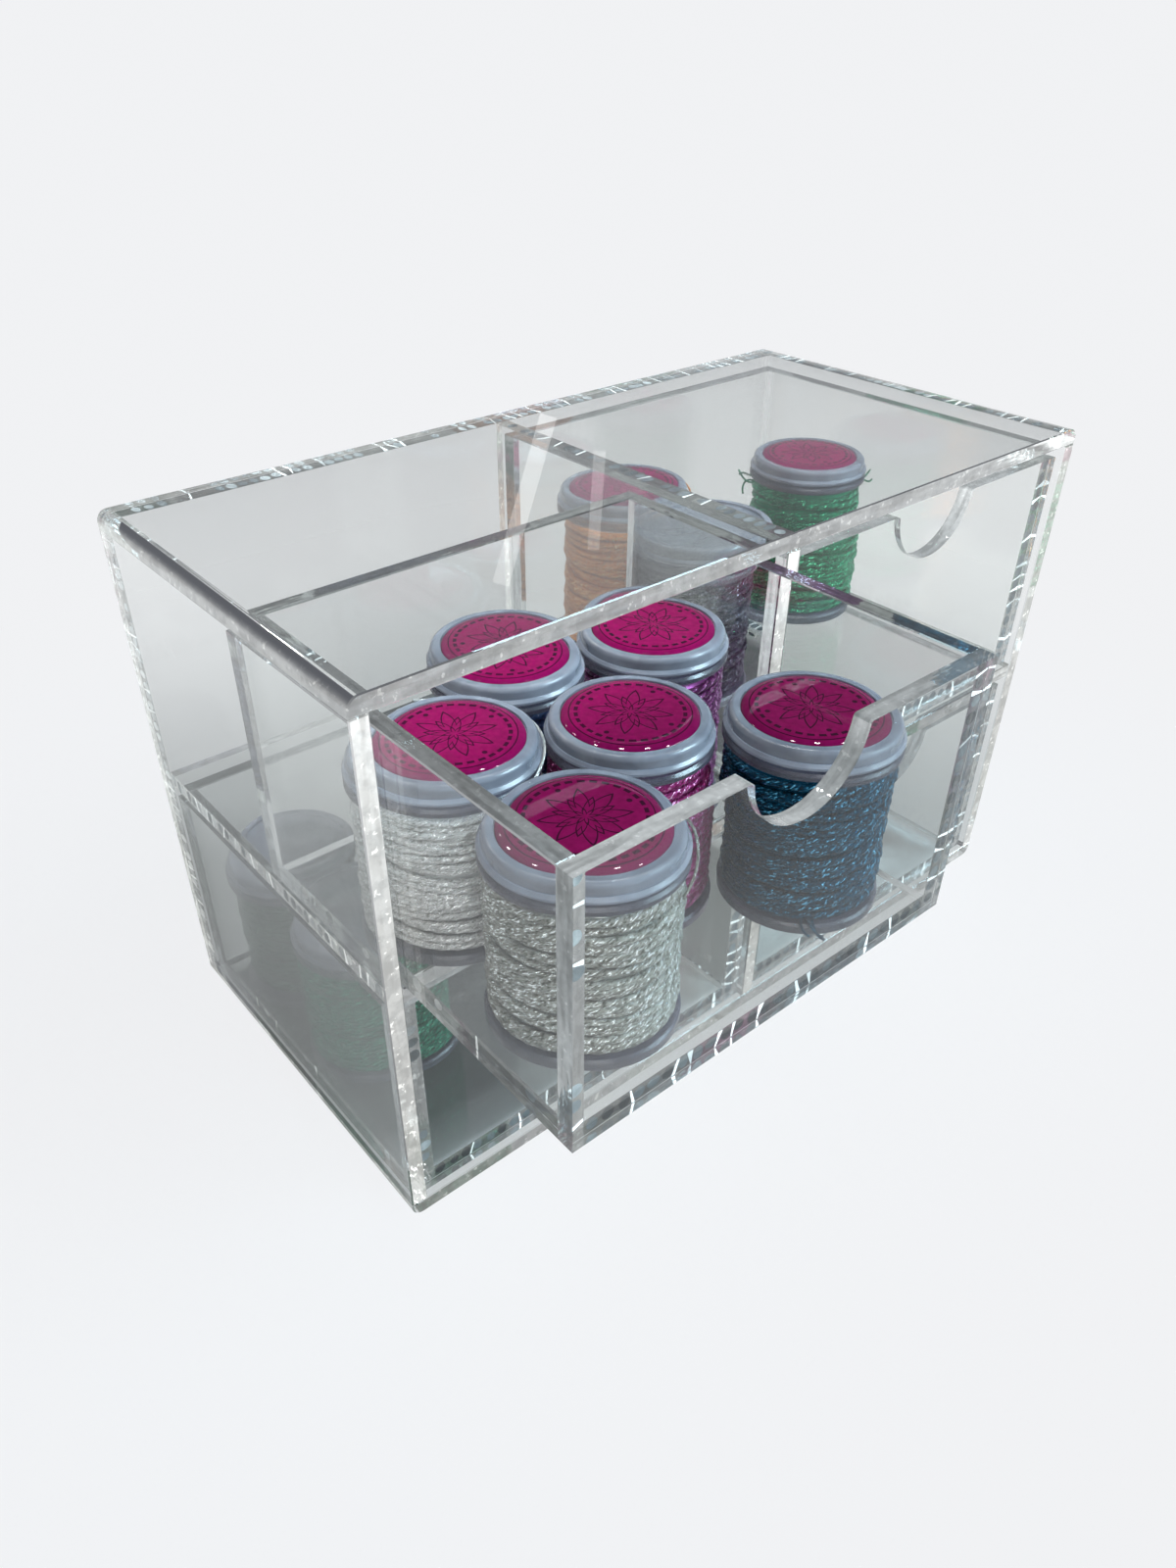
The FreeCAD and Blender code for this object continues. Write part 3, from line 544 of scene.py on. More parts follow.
# Seams by their two panels, how pale their cells look and what share of them is there.
CASE_SEAMS = [
    ("case_top", "case_left_side", 0.35, 0.9), ("case_top", "case_right_side", 0.2, 0.7),
    ("case_top", "upper_divider", 0.05, 0.6), ("case_top", "case_back", 0.2, 0.7),
    ("case_bottom", "case_left_side", 0.3, 1.0), ("case_bottom", "case_right_side", 0.1, 1.0),
    ("case_bottom", "lower_divider", 0.1, 1.0), ("case_bottom", "case_back", 0.4, 0.8),
    ("case_shelf", "case_left_side", 0.3, 0.9), ("case_shelf", "case_right_side", 0.3, 0.9),
    ("case_shelf", "upper_divider", 0.2, 0.9), ("case_shelf", "lower_divider", 0.2, 0.9),
    ("case_shelf", "case_back", 0.4, 0.7), ("case_back", "case_left_side", 0.35, 0.95),
    ("case_back", "case_right_side", 0.35, 0.95), ("case_back", "upper_divider", 0.3, 0.95),
    ("case_back", "lower_divider", 0.3, 0.95),
]
DRAWER_SEAMS = [
    ("front", "left_side", 0.1, 0.25), ("front", "right_side", 0.0, 1.0), ("front", "floor", -0.1, 1.0),
    ("back", "left_side", 0.3, 0.6), ("back", "right_side", 0.3, 0.6), ("back", "floor", 0.1, 0.9),
    ("floor", "left_side", 0.3, 0.25), ("floor", "right_side", 0.0, 0.9),
]


def cement_bubbles(name, body, pairs, pitch, seed):
    """One piece holding the bubbles of all the seams of one body."""
    points, faces, tones, count = [], [], [], 0
    for step, (first, second, paleness, fullness) in enumerate(pairs):
        dice = np.random.default_rng(seed + step)
        rows = bubble_row(*seam_between(first, second), pitch, paleness, fullness, dice)
        for row_points, row_faces, row_tones in rows:
            points.append(row_points)
            faces += [block + count for block in row_faces]
            tones.append(row_tones)
            count += len(row_points)
    piece = mesh_object(name, np.concatenate(points), faces, bubble_finish, smooth=False)
    layer = piece.data.attributes.new("tone", "FLOAT", "POINT")
    layer.data.foreach_set("value", np.concatenate(tones).astype(np.float32))
    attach(piece, body)


CASE_SEED, DRAWER_SEED, DRAWER_SEED_STEP = 100, 200, 20
cement_bubbles("cement_bubbles_case", "case", CASE_SEAMS, CASE_BUBBLE_PITCH, CASE_SEED)
for order, drawer in enumerate(DRAWERS):
    seams = [(f"{drawer}_drawer_{first}", f"{drawer}_drawer_{second}", *look)
             for first, second, *look in DRAWER_SEAMS]
    cement_bubbles(f"cement_bubbles_{drawer}", f"{drawer}_drawer", seams,
                   DRAWER_BUBBLE_PITCH, DRAWER_SEED + DRAWER_SEED_STEP * order)


# --- Bobbins and caps --------------------------------------------------------------------------
# Each spool is a bobbin and a snap cap, moulded from cloudy polypropylene with a lavender cast.
# Both keep their shape from the frame and get the plastic's cloudy, slightly waxy finish.

PLASTIC_IOR = 1.49
CLOUD_SCALE, CLOUD_SHARES = 160.0, (0.35, 0.65, 0.0, 1.0)
SCUFF_SCALE, SCUFF_SHARE, PLASTIC_ROUGHNESS = 700.0, 0.14, 0.16
CLOUD_STRENGTH, CLOUD_HEIGHT = 0.08, 0.1 * MM
# Colours of thin and of dense patches, and how clear the plastic is.
BOBBIN_COLOURS, BOBBIN_CLEARNESS = ((0.10, 0.10, 0.14, 1), (0.16, 0.16, 0.215, 1)), 0.8
CAP_COLOURS, CAP_CLEARNESS = ((0.22, 0.24, 0.295, 1), (0.315, 0.34, 0.405, 1)), 0.5

plastic_group, given, result = group(
    "cloudy_plastic", [("Thin", "Color"), ("Dense", "Color")],
    [("Colour", "Color"), ("Roughness", "Float"), ("Normal", "Vector")])
spot = add(plastic_group, "ShaderNodeTexCoord").outputs["Object"]
cloud = speckle(plastic_group, spot, CLOUD_SCALE, 3.0, 0.6)
share = stretch(plastic_group, cloud, *CLOUD_SHARES)
clouded = blend_colours(plastic_group, share, given["Thin"], given["Dense"])
plastic_group.links.new(clouded, result["Colour"])
scuff = speckle(plastic_group, spot, SCUFF_SCALE, 3.0)
scuffed = computed(plastic_group, "MULTIPLY_ADD", scuff, SCUFF_SHARE, PLASTIC_ROUGHNESS)
plastic_group.links.new(scuffed, result["Roughness"])
bump = add(plastic_group, "ShaderNodeBump", {"Strength": CLOUD_STRENGTH, "Distance": CLOUD_HEIGHT,
                                             "Height": cloud})
plastic_group.links.new(bump.outputs[0], result["Normal"])


def cloudy_plastic(name, thin, dense, clearness):
    """Cloudy plastic between the colours of its thin and dense patches."""
    made, tree, shader = material(name)
    surface = add(tree, "ShaderNodeGroup", {}, node_tree=plastic_group)
    surface.inputs["Thin"].default_value = thin
    surface.inputs["Dense"].default_value = dense
    tree.links.new(surface.outputs["Roughness"], shader.inputs["Roughness"])
    tree.links.new(surface.outputs["Normal"], shader.inputs["Normal"])
    shader.inputs["IOR"].default_value = PLASTIC_IOR
    shader.inputs["Transmission Weight"].default_value = clearness
    let_light_through(tree, shader, surface.outputs["Colour"])
    return made


bobbin_finish = cloudy_plastic("bobbin_plastic", *BOBBIN_COLOURS, BOBBIN_CLEARNESS)
cap_finish = cloudy_plastic("cap_plastic", *CAP_COLOURS, CAP_CLEARNESS)

SPOOLS = {
    "upper_left": ["pearl", "navy", "silver", "magenta", "purple", "teal"],
    "upper_right": ["peach", "charcoal", "green"],
    "lower_left": ["olive", "emerald"],
}
for drawer, colours in SPOOLS.items():
    finish_node(f"snap_caps_{drawer}", cap_finish)
    for colour in colours:
        finish_node(f"bobbin_{colour}", bobbin_finish)


# --- Wound thread ------------------------------------------------------------------------------
# A twisted three-ply metallic cord a little over a millimetre thick is wound on each bobbin in
# uneven layers, with a few slack turns that cross over the others.  Some ends have come loose
# and hook over the flange or stick out under the cap.

CORD_RADIUS = 0.62 * MM
CORD_PITCH = 1.14 * MM
PLIES = 3
PLY_TWISTS = 10
PLY_SWELL = 0.10
CORD_SIDES = 8
CORD_SAMPLES = 168
LOOSE_RADIUS = 0.2 * MM
LOOSE_SAMPLES = 28
# Waves of the turns: heights in pitches and lengths in turns.  The slope turns slowly, all of them
# die away over the first and last turns, and the depth swings in shares of a crossing's rise.
WAVE_HEIGHTS, WAVE_LENGTHS = (0.28, 0.2), (4.7, 2.3)
SLOPE_HEIGHT, SLOPE_DRIFT, DRIFT_LENGTH = 0.95, 1.1, 9
SETTLING_TURNS = 2.5
CROSSING_RISE = 0.34 * MM
DEPTH_MEAN, DEPTH_SWING, DEPTH_LENGTH = 0.55, 0.45, 3.1
# Slack turns: how many there are and where they lie along the winding, their sweep in turns and
# their climb in pitches, and how they stand out in the middle and tuck in at the ends.
SLACK_TURNS, SLACK_FROM, SLACK_TO, SLACK_SHIFT = 5, 0.1, 0.86, 0.06
SLACK_SWEEP, SLACK_CLIMB = (0.55, 1.15), (1.2, 4.2)
SLACK_RISE, SLACK_TUCK = 0.12 * MM, 0.75 * MM
# The barrel of turns underneath lies between these depths below the winding's surface.
BARREL_DEEP, BARREL_SHALLOW = 4.0 * MM, 1.3 * MM
WINDING_SEED = 10


def tube(path, radius, sides, swell=0.0, twist=0.0):
    """A tube along a path, closed at its ends, with its UVs in turns along and around.

    Its section is radius * (1 + swell * cos(plies * (angle - twist * step))), so the plies wind
    round each other.
    """
    path = np.asarray(path, float)
    along = np.gradient(path, axis=0)
    along /= np.linalg.norm(along, axis=1, keepdims=True)
    side = np.cross(along, (0.0, 0.0, 1.0))
    side /= np.linalg.norm(side, axis=1, keepdims=True)
    over = np.cross(side, along)
    angle = np.linspace(0, 2 * np.pi, sides, endpoint=False)[None, :]
    step = np.arange(len(path))[:, None]
    swelling = 1 + swell * np.cos(PLIES * (angle - twist * step))
    thick = np.broadcast_to(radius, (len(path), 1)) * swelling
    ring = (path[:, None, :] + (thick * np.cos(angle))[..., None] * side[:, None, :]
            + (thick * np.sin(angle))[..., None] * over[:, None, :])
    points = np.concatenate([ring.reshape(-1, 3), path[:1], path[-1:]])
    index = np.arange(len(path) * sides).reshape(len(path), sides)
    turned = np.roll(index, -1, axis=1)
    walls = np.stack([index[:-1], turned[:-1], turned[1:], index[1:]], -1).reshape(-1, 4)
    first = np.stack([np.full(sides, len(path) * sides), turned[0], index[0]], -1)
    last = np.stack([np.full(sides, len(path) * sides + 1), index[-1], turned[-1]], -1)
    around = np.broadcast_to(np.arange(sides) / sides, (len(path), sides))
    length = np.broadcast_to(step / CORD_SAMPLES, (len(path), sides))
    here = np.stack([length, around], -1)
    ahead = np.stack([length, around + 1 / sides], -1)
    wall_uv = np.stack([here[:-1], ahead[:-1], ahead[1:], here[1:]], 2).reshape(-1, 2)
    end_uv = np.zeros((2 * sides * 3, 2))
    return points, walls, np.concatenate([first, last]), wall_uv, end_uv


def helix(centre, radius, angle, height):
    """Points at a radius, an angle and a height about an upright axis through centre."""
    return np.stack([centre[0] + radius * np.cos(angle), centre[1] + radius * np.sin(angle),
                     height], -1)


def winding(centre, radius, low, high, seed):
    """Paths of one winding: the main helix and a few slack turns that climb across it.

    Helix: angle = 2 pi t, height = low + rise * t, plus a slope that goes once round and slowly
    turns, plus two slow waves; radius = the full radius less the cord's, with a slow wave.
    Slack turn: height = its level + climb * (u - 1/2), radius = the full radius less the cord's
    + rise - tuck * |2u - 1|^6.
    """
    dice = np.random.default_rng(seed)
    low, high = low + CORD_RADIUS, high - CORD_RADIUS
    turns = max(int(round((high - low) / CORD_PITCH)), 1)
    t = np.linspace(0, turns, turns * CORD_SAMPLES + 1)
    phase = dice.uniform(0, 2 * np.pi, 6)
    wave = sum(size * np.sin(2 * np.pi * t / length + start)
               for size, length, start in zip(WAVE_HEIGHTS, WAVE_LENGTHS, phase))
    drift = SLOPE_DRIFT * np.sin(2 * np.pi * t / DRIFT_LENGTH + phase[3])
    slope = SLOPE_HEIGHT * np.sin(2 * np.pi * t + phase[2] + drift)
    ease = np.clip(np.minimum(t, turns - t) / SETTLING_TURNS, 0, 1)
    height = low + (high - low) * t / turns + CORD_PITCH * (wave + slope) * ease
    depth = DEPTH_MEAN + DEPTH_SWING * np.sin(2 * np.pi * t / DEPTH_LENGTH + phase[4])
    outer = radius - CORD_RADIUS - CROSSING_RISE * depth
    paths = [helix(centre, outer, 2 * np.pi * t + phase[5], np.clip(height, low, high))]
    shift = dice.uniform(-SLACK_SHIFT, SLACK_SHIFT, SLACK_TURNS)
    for start in np.linspace(SLACK_FROM, SLACK_TO, SLACK_TURNS) + shift:
        sweep = dice.uniform(*SLACK_SWEEP)
        climb = dice.uniform(*SLACK_CLIMB) * CORD_PITCH * dice.choice([-1, 1])
        u = np.linspace(0, 1, int(sweep * CORD_SAMPLES))
        level = np.clip(low + (high - low) * start + climb * (u - 0.5), low, high)
        lift = radius - CORD_RADIUS + SLACK_RISE - SLACK_TUCK * np.abs(2 * u - 1) ** 6
        paths.append(helix(centre, lift, 2 * np.pi * (dice.random() + sweep * u), level))
    return paths


def barrel(centre, inner, outer, low, high, around=64):
    """The turns underneath: a plain closed ring from inner to outer and from low to high."""
    angle = np.linspace(0, 2 * np.pi, around, endpoint=False)
    rims = [(inner, low), (outer, low), (outer, high), (inner, high)]
    points = np.concatenate([helix(centre, radius, angle, np.full(around, level))
                             for radius, level in rims])
    index = np.arange(4 * around).reshape(4, around)
    nearer = np.roll(index, -1, axis=0)
    faces = np.stack([index, np.roll(index, -1, 1), np.roll(nearer, -1, 1), nearer], -1)
    return points, faces.reshape(-1, 4)


# Handles of the loose ends: radius from the spool's axis and height above its foot in
# millimetres, and the angle about the axis in degrees between them.
LOOSE_ENDS = {
    "pearl": [[(11.9, -80, 25.0), (13.3, -66, 29.6), (12.0, -40, 29.9), (12.0, 4, 29.75)],
              [(12.0, 40, 29.8), (12.1, 60, 30.1), (12.4, 75, 29.9), (12.7, 84, 30.6)]],
    "silver": [[(11.9, -60, 23.0), (13.4, -46, 25.0), (13.4, -40, 29.4), (12.1, -24, 29.8)]],
    "peach": [[(11.9, -62, 24.0), (13.4, -48, 27.0), (12.8, -30, 30.0), (12.1, -2, 29.8)]],
    "teal": [[(11.6, -132, 3.2), (13.0, -130, 2.4), (13.6, -125, 0.9), (13.0, -121, 0.5)],
             [(11.6, -136, 2.8), (13.2, -137, 2.6), (13.8, -134, 1.6), (14.2, -131, 1.7)],
             [(11.6, -128, 2.8), (12.9, -127, 1.2), (13.2, -124, 0.5), (13.9, -121, 0.6)]],
    "green": [[(11.6, 134, 26.0), (13.2, 138, 26.6), (13.9, 142, 27.8), (14.8, 143, 27.0)],
              [(11.6, 150, 26.0), (13.0, 148, 25.2), (14.0, 146, 26.2), (15.2, 147, 28.4)],
              [(11.6, 142, 25.6), (13.4, 144, 26.4), (14.4, 147, 25.0), (14.0, 150, 23.4)],
              [(11.6, -45, 26.0), (13.0, -42, 26.6), (13.6, -38, 27.8), (14.0, -34, 27.2)],
              [(11.6, -33, 26.0), (13.0, -36, 25.2), (13.8, -38, 24.4), (14.4, -38, 25.6)]],
    "olive": [[(11.6, 212, 26.0), (12.9, 214, 27.0), (13.3, 218, 26.4), (13.6, 221, 24.6)],
              [(11.6, 206, 26.0), (12.7, 209, 25.4), (13.2, 212, 23.6), (13.0, 215, 21.8)]],
}


def loose_end(centre, handles):
    """A cubic curve on four handles p: sum of (1-u)^3 p0, 3u(1-u)^2 p1, 3u^2(1-u) p2 and u^3 p3."""
    u = np.linspace(0, 1, LOOSE_SAMPLES)[:, None]
    weights = np.concatenate([(1 - u) ** 3, 3 * u * (1 - u) ** 2, 3 * u ** 2 * (1 - u), u ** 3], 1)
    radius, angle, height = (weights @ np.array(handles, float)).T
    return helix(centre, radius * MM, np.radians(angle), centre[2] + height * MM)


# Dark, middle, glint and spark of each colour.
THREADS = {
    "pearl": [(0.20, 0.20, 0.19), (0.50, 0.50, 0.48), (0.78, 0.78, 0.77), (1, 1, 1)],
    "navy": [(0.002, 0.003, 0.012), (0.012, 0.020, 0.06), (0.06, 0.10, 0.20), (0.5, 0.6, 0.8)],
    "silver": [(0.045, 0.045, 0.036), (0.17, 0.17, 0.145), (0.48, 0.50, 0.47), (0.95, 0.99, 1)],
    "magenta": [(0.03, 0.001, 0.012), (0.15, 0.008, 0.07), (0.45, 0.07, 0.26), (0.95, 0.6, 0.85)],
    "purple": [(0.010, 0.001, 0.008), (0.05, 0.005, 0.04), (0.20, 0.05, 0.17), (0.8, 0.45, 0.75)],
    "teal": [(0.001, 0.003, 0.007), (0.001, 0.015, 0.032), (0.004, 0.08, 0.15), (0.16, 0.52, 0.75)],
    "peach": [(0.22, 0.06, 0.01), (0.62, 0.19, 0.035), (0.9, 0.37, 0.10), (1, 0.78, 0.45)],
    "charcoal": [(0.003, 0.002, 0.004), (0.014, 0.011, 0.018), (0.06, 0.05, 0.07), (0.4, 0.36, 0.42)],
    "green": [(0.0, 0.02, 0.009), (0.0, 0.10, 0.042), (0.0, 0.28, 0.13), (0.2, 0.85, 0.5)],
    "olive": [(0.008, 0.018, 0.012), (0.025, 0.06, 0.04), (0.08, 0.16, 0.11), (0.35, 0.5, 0.4)],
    "emerald": [(0.0, 0.015, 0.008), (0.001, 0.075, 0.042), (0.01, 0.22, 0.13), (0.25, 0.8, 0.55)],
}
THREAD_STOPS = (0.44, 0.55, 0.64, 0.70)
# The tone of the cord is made of flakes, which flow along the filaments, of the plies' crests, a
# painted light that makes the ply tops paler than the grooves between them, and of soft patches;
# its paler tones are bare metal.
FLOW_ALONG, FLOW_AROUND, PATCH_SCALE = 125.0, 14.0, 330.0
FLAKE_TONE, PAINTED_CREST_LIGHT, PATCH_TONE = 0.9, 0.08, 0.16
METAL_TONES = (0.54, 0.66, 0.0, 0.9)
FLAKE_SHINE, THREAD_ROUGHNESS, THREAD_SPECULAR = -0.5, 0.5, 0.12
FILAMENTS = 7
FILAMENT_RELIEF, CREST_RELIEF, FLAKE_RELIEF = 0.15, 0.5, 1.2
RELIEF_STRENGTH, RELIEF_HEIGHT = 0.7, 0.14 * MM


def thread_finish(colour):
    """Twisted metal-wrapped cord: fine filaments along each ply, with flakes that catch light."""
    made, tree, shader = material(f"{colour}_cord")
    place = add(tree, "ShaderNodeUVMap", uv_map="along_cord").outputs[0]
    cord = add(tree, "ShaderNodeSeparateXYZ", {0: place})
    twisted = computed(tree, "MULTIPLY", cord.outputs[0], float(PLY_TWISTS))
    around = computed(tree, "SUBTRACT", cord.outputs[1], twisted)
    ply = computed(tree, "COSINE", computed(tree, "MULTIPLY", around, 2 * math.pi * PLIES))
    crest = computed(tree, "MULTIPLY_ADD", ply, 0.5, 0.5)
    strands = 2 * math.pi * FILAMENTS * PLIES
    filament = computed(tree, "SINE", computed(tree, "MULTIPLY", around, strands))
    flow = add(tree, "ShaderNodeCombineXYZ", {
        0: computed(tree, "MULTIPLY", cord.outputs[0], FLOW_ALONG),
        1: computed(tree, "MULTIPLY", around, FLOW_AROUND)}).outputs[0]
    flake = speckle(tree, flow, 1.0, 3.0)
    patch = speckle(tree, add(tree, "ShaderNodeTexCoord").outputs["Object"], PATCH_SCALE)
    # The crests' share is painted light: ply tops paler than the grooves between them.
    tone = computed(tree, "MULTIPLY_ADD", flake, FLAKE_TONE,
                    computed(tree, "MULTIPLY", crest, PAINTED_CREST_LIGHT))
    tone = computed(tree, "MULTIPLY_ADD", patch, PATCH_TONE, tone)
    stops = [(stop, (*shade, 1)) for stop, shade in zip(THREAD_STOPS, THREADS[colour])]
    tree.links.new(ramp(tree, tone, stops), shader.inputs["Base Color"])
    tree.links.new(computed(tree, "MULTIPLY_ADD", flake, FLAKE_SHINE, THREAD_ROUGHNESS),
                   shader.inputs["Roughness"])
    tree.links.new(stretch(tree, tone, *METAL_TONES), shader.inputs["Metallic"])
    shader.inputs["Specular IOR Level"].default_value = THREAD_SPECULAR
    relief = computed(tree, "MULTIPLY_ADD", filament, FILAMENT_RELIEF,
                      computed(tree, "MULTIPLY", crest, CREST_RELIEF))
    relief = computed(tree, "MULTIPLY_ADD", flake, FLAKE_RELIEF, relief)
    bump = add(tree, "ShaderNodeBump", {"Strength": RELIEF_STRENGTH, "Distance": RELIEF_HEIGHT,
                                        "Height": relief})
    tree.links.new(bump.outputs[0], shader.inputs["Normal"])
    return made


def cord_object(name, tubes, finish, solids=()):
    """One mesh from several tubes and closed solids, with the UV map that the cord's finish reads."""
    points, faces, uvs, count = [], [], [], 0
    for tube_points, walls, caps, wall_uv, end_uv in tubes:
        points.append(tube_points)
        faces += [walls + count, caps + count]
        uvs += [wall_uv, end_uv]
        count += len(tube_points)
    for solid_points, solid_faces in solids:
        points.append(solid_points)
        faces.append(solid_faces + count)
        uvs.append(np.zeros((solid_faces.size, 2)))
        count += len(solid_points)
    made = mesh_object(name, np.concatenate(points), faces, finish)
    layer = made.data.uv_layers.new(name="along_cord")
    layer.data.foreach_set("uv", np.concatenate(uvs).astype(np.float32).ravel())
    return made


def spool_axis(colour):
    """Centre of a spool's foot."""
    low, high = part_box(f"bobbin_{colour}")
    return np.array([(low[0] + high[0]) / 2, (low[1] + high[1]) / 2, low[2]])


for drawer, colours in SPOOLS.items():
    for colour in colours:
        low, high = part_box(f"thread_{colour}")
        radius = (high[0] - low[0]) / 2
        foot = spool_axis(colour)
        seed = WINDING_SEED + list(THREADS).index(colour)
        paths = winding(foot, radius, low[2], high[2], seed)
        twist = 2 * np.pi * PLY_TWISTS / CORD_SAMPLES
        tubes = [tube(path, CORD_RADIUS, CORD_SIDES, PLY_SWELL, twist) for path in paths]
        tubes += [tube(loose_end(foot, handles), LOOSE_RADIUS, CORD_SIDES)
                  for handles in LOOSE_ENDS.get(colour, [])]
        under = barrel(foot, radius - BARREL_DEEP, radius - BARREL_SHALLOW, low[2], high[2])
        wound = cord_object(f"wound_{colour}", tubes, thread_finish(colour), [under])
        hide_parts(f"thread_{colour}")
        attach(wound, f"{drawer}_drawer")


# --- Labels ------------------------------------------------------------------------------------
# A round magenta label lies in the seat of most caps, under a dome of clear resin that falls
# away to a rolled rim.  It is printed in dark ink with a ring of running stitches round a
# quilter's star.

# How far each label is turned about its axis, in degrees.
LABEL_TURN = {"pearl": 3, "navy": -118, "silver": 82, "magenta": 18, "purple": 5, "teal": -28,
              "peach": 40, "green": -20}
LABEL_AROUND = 72
DOME_RINGS, ROLL_RINGS, INNER_RING = 9, 4, 0.35
FLAT_SHARE = 0.8
DOME_DROP = 0.42 * MM
ROLLED_RIM = 0.3 * MM


def domed_disc(centre, radius, seat, top, turn):
    """A resin dome turned round its axis: its points, its faces and its points' label places.

    Height: top - drop * ((s - flat) / (1 - flat))^2, s being the share of the radius; a round of
    the rim's radius carries it over into an upright wall that stands on the seat.
    """
    fall = math.atan(2 * DOME_DROP / (radius * (1 - FLAT_SHARE)))
    reach = radius - ROLLED_RIM * (1 - math.sin(fall))
    share = np.linspace(1, FLAT_SHARE, DOME_RINGS)
    dome_height = top - DOME_DROP * ((share - FLAT_SHARE) / (1 - FLAT_SHARE)) ** 2
    roll = np.linspace(0, math.pi / 2 - fall, ROLL_RINGS + 1)[:-1]
    roll_height = top - DOME_DROP - ROLLED_RIM * (math.cos(fall) - np.sin(roll))
    profile_radius = np.concatenate([[radius], radius - ROLLED_RIM * (1 - np.cos(roll)),
                                     share * reach, [INNER_RING * reach]])
    profile_height = np.concatenate([[seat], roll_height, dome_height, [top]])
    angle = np.linspace(0, 2 * np.pi, LABEL_AROUND, endpoint=False)
    rings = np.stack([helix(centre, ring_radius, angle, np.full(LABEL_AROUND, level))
                      for ring_radius, level in zip(profile_radius, profile_height)])
    points = np.concatenate([rings.reshape(-1, 3), [[*centre[:2], top]], [[*centre[:2], seat]]])
    index = np.arange(len(rings) * LABEL_AROUND).reshape(len(rings), LABEL_AROUND)
    turned = np.roll(index, -1, axis=1)
    walls = np.stack([index[:-1], turned[:-1], turned[1:], index[1:]], -1).reshape(-1, 4)
    peak = np.stack([index[-1], turned[-1], np.full(LABEL_AROUND, len(points) - 2)], -1)
    foot = np.stack([turned[0], index[0], np.full(LABEL_AROUND, len(points) - 1)], -1)
    spin = math.radians(-turn)
    spin = np.array([[math.cos(spin), -math.sin(spin)], [math.sin(spin), math.cos(spin)]])
    place = (points[:, :2] - centre[:2]) / radius @ spin.T
    return points, [walls, np.concatenate([peak, foot])], place


label_finish, tree, shader = material("printed_label")
place = add(tree, "ShaderNodeUVMap", uv_map="label").outputs[0]
flat = add(tree, "ShaderNodeSeparateXYZ", {0: place})
out = add(tree, "ShaderNodeVectorMath", {0: place}, operation="LENGTH").outputs["Value"]
bearing = computed(tree, "ARCTAN2", flat.outputs[1], flat.outputs[0])


def line_of_ink(tree, value, middle, half_width, soft=0.006):
    """1 where value is within half_width of middle, 0 elsewhere, with a soft edge."""
    off = computed(tree, "ABSOLUTE", computed(tree, "SUBTRACT", value, middle))
    return stretch(tree, off, half_width, half_width + soft, 1.0, 0.0)


def star_outline(tree, bearing, points, phase, inner, outer):
    """Radius of a straight-sided star at each bearing, from inner between its points to outer."""
    turns = computed(tree, "MULTIPLY_ADD", bearing, points / (2 * math.pi), phase)
    return computed(tree, "MULTIPLY_ADD", computed(tree, "PINGPONG", turns, 0.5),
                    2 * (outer - inner), inner)


# Stars by points, phase, inner and outer radius and half line width, in shares of the label.
STARS = [(8, 0.0, 0.22, 0.60, 0.022), (8, 0.5, 0.14, 0.42, 0.020), (8, 0.0, 0.05, 0.17, 0.020)]
STITCH_RING, STITCH_HALF_WIDTH, STITCHES, STITCH_GAP = 0.78, 0.026, 30, 0.36
FINE_RING, FINE_HALF_WIDTH = 0.88, 0.007
DOT_RING, DOT_RADIUS = 0.66, 0.036
LABEL_MOTTLE, LABEL_ROUGHNESS, MOTTLE_ROUGHNESS = 9.0, 0.34, 0.08
LABEL_COLOURS = [(0.35, (0.140, 0.002, 0.043, 1)), (0.65, (0.176, 0.003, 0.056, 1))]
RIM_TONES, RIM_COLOUR = (0.84, 1.0, 0.0, 0.6), (0.10, 0.001, 0.04, 1)
INK_SHARE, INK_COLOUR = 0.93, (0.02, 0.002, 0.012, 1)
RESIN_SHARE, RESIN_ROUGHNESS, RESIN_IOR = 0.45, 0.02, 1.5

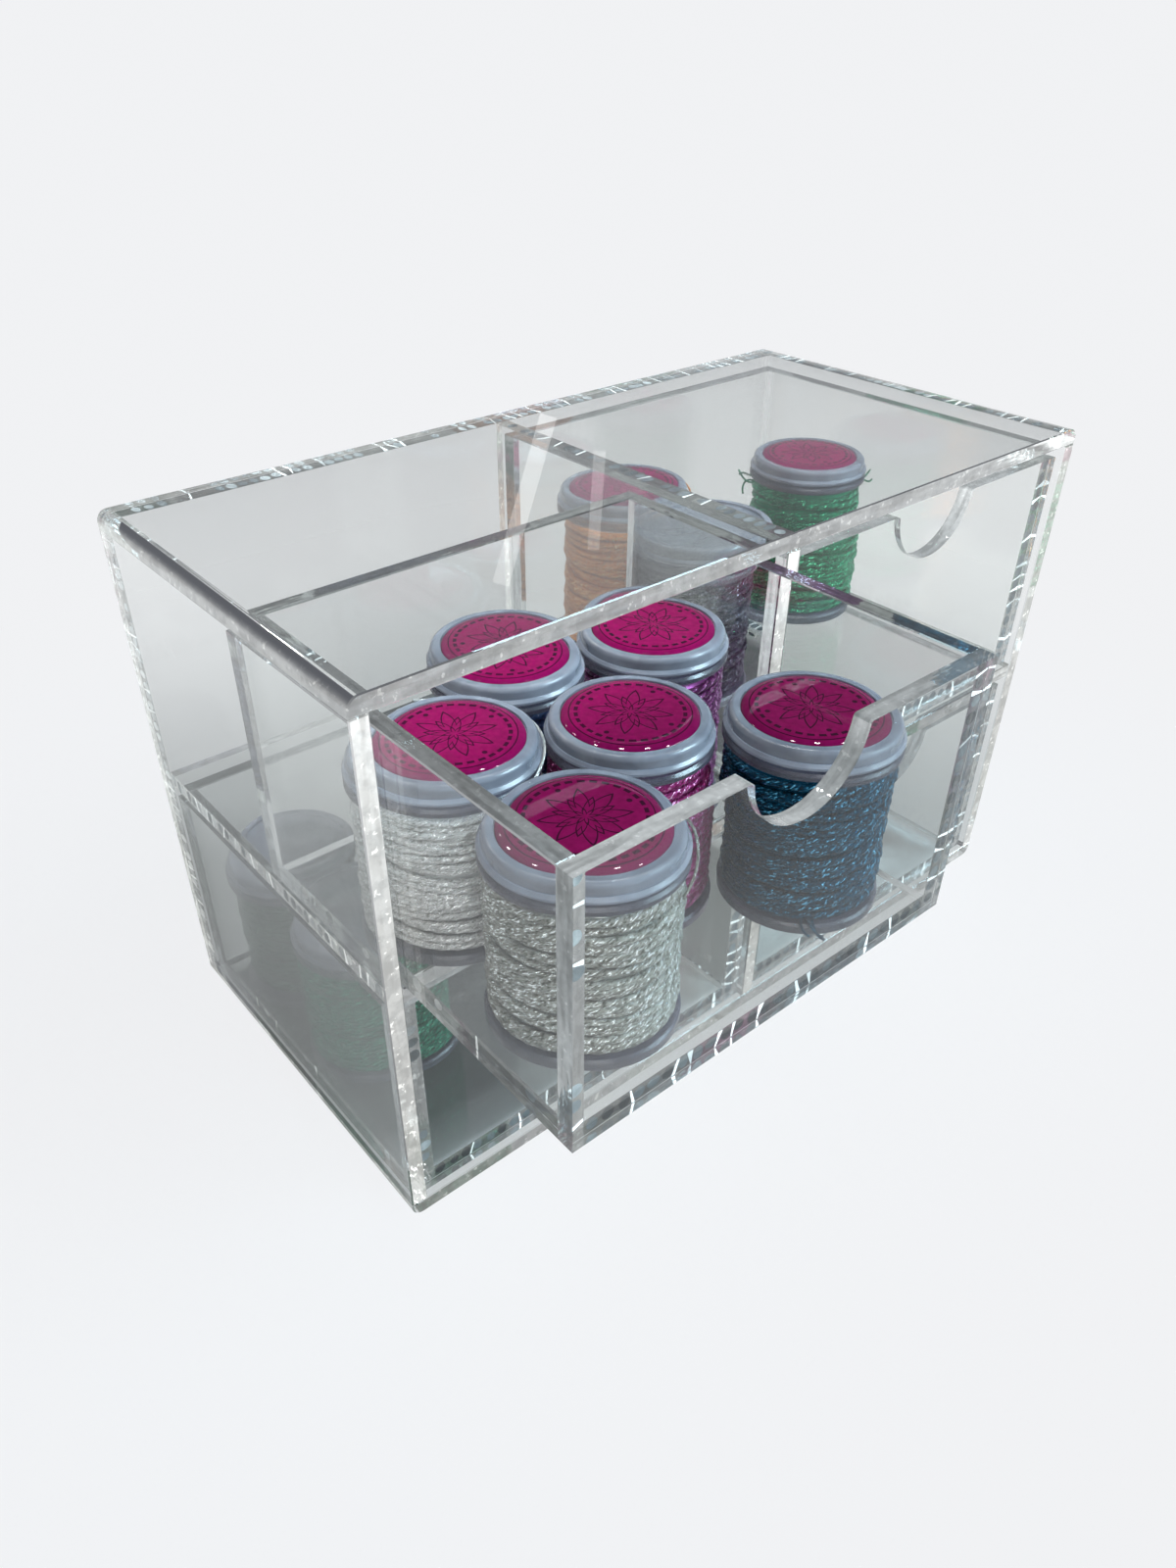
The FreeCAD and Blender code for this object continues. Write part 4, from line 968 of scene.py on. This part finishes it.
stitch = line_of_ink(tree, out, STITCH_RING, STITCH_HALF_WIDTH)
sewn = computed(tree, "FRACT", computed(tree, "MULTIPLY", bearing, STITCHES / (2 * math.pi)))
marks = [computed(tree, "MULTIPLY", stitch, computed(tree, "GREATER_THAN", sewn, STITCH_GAP)),
         line_of_ink(tree, out, FINE_RING, FINE_HALF_WIDTH)]
for points, phase, inner, outer, half_width in STARS:
    outline = star_outline(tree, bearing, points, phase, inner, outer)
    beyond_star = computed(tree, "SUBTRACT", out, outline)
    marks.append(line_of_ink(tree, beyond_star, 0.0, half_width))
for right, up in ((0, -1), (0, 1), (1, 0), (-1, 0)):
    dot = (right * DOT_RING, up * DOT_RING, 0)
    away = add(tree, "ShaderNodeVectorMath", {0: place, 1: dot}, operation="DISTANCE").outputs["Value"]
    marks.append(line_of_ink(tree, away, 0.0, DOT_RADIUS))
ink = marks[0]
for mark in marks[1:]:
    ink = computed(tree, "MAXIMUM", ink, mark)
mottle = speckle(tree, place, LABEL_MOTTLE, 4.0)
paper = ramp(tree, mottle, LABEL_COLOURS)
paper = blend_colours(tree, stretch(tree, out, *RIM_TONES), paper, RIM_COLOUR)
printed = blend_colours(tree, computed(tree, "MULTIPLY", ink, INK_SHARE), paper, INK_COLOUR)
tree.links.new(printed, shader.inputs["Base Color"])
tree.links.new(computed(tree, "MULTIPLY_ADD", mottle, MOTTLE_ROUGHNESS, LABEL_ROUGHNESS),
               shader.inputs["Roughness"])
shader.inputs["Specular IOR Level"].default_value = 0.0
shader.inputs["Coat Weight"].default_value = RESIN_SHARE
shader.inputs["Coat Roughness"].default_value = RESIN_ROUGHNESS
shader.inputs["Coat IOR"].default_value = RESIN_IOR

for drawer in ("upper_left", "upper_right"):
    low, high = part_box(f"labels_{drawer}")
    colours = [colour for colour in SPOOLS[drawer] if colour in LABEL_TURN]
    points, faces, uvs, count = [], [], [], 0
    reach = [spool_axis(colour)[0] for colour in colours]
    label_radius = (high[0] - low[0] - (max(reach) - min(reach))) / 2
    for colour in colours:
        disc, blocks, label_place = domed_disc(spool_axis(colour), label_radius, low[2], high[2],
                                               LABEL_TURN[colour])
        points.append(disc)
        faces += [block + count for block in blocks]
        uvs += [label_place[block].reshape(-1, 2) for block in blocks]
        count += len(disc)
    labels = mesh_object(f"domed_labels_{drawer}", np.concatenate(points), faces, label_finish)
    layer = labels.data.uv_layers.new(name="label")
    layer.data.foreach_set("uv", np.concatenate(uvs).astype(np.float32).ravel())
    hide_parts(f"labels_{drawer}")
    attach(labels, f"{drawer}_drawer")
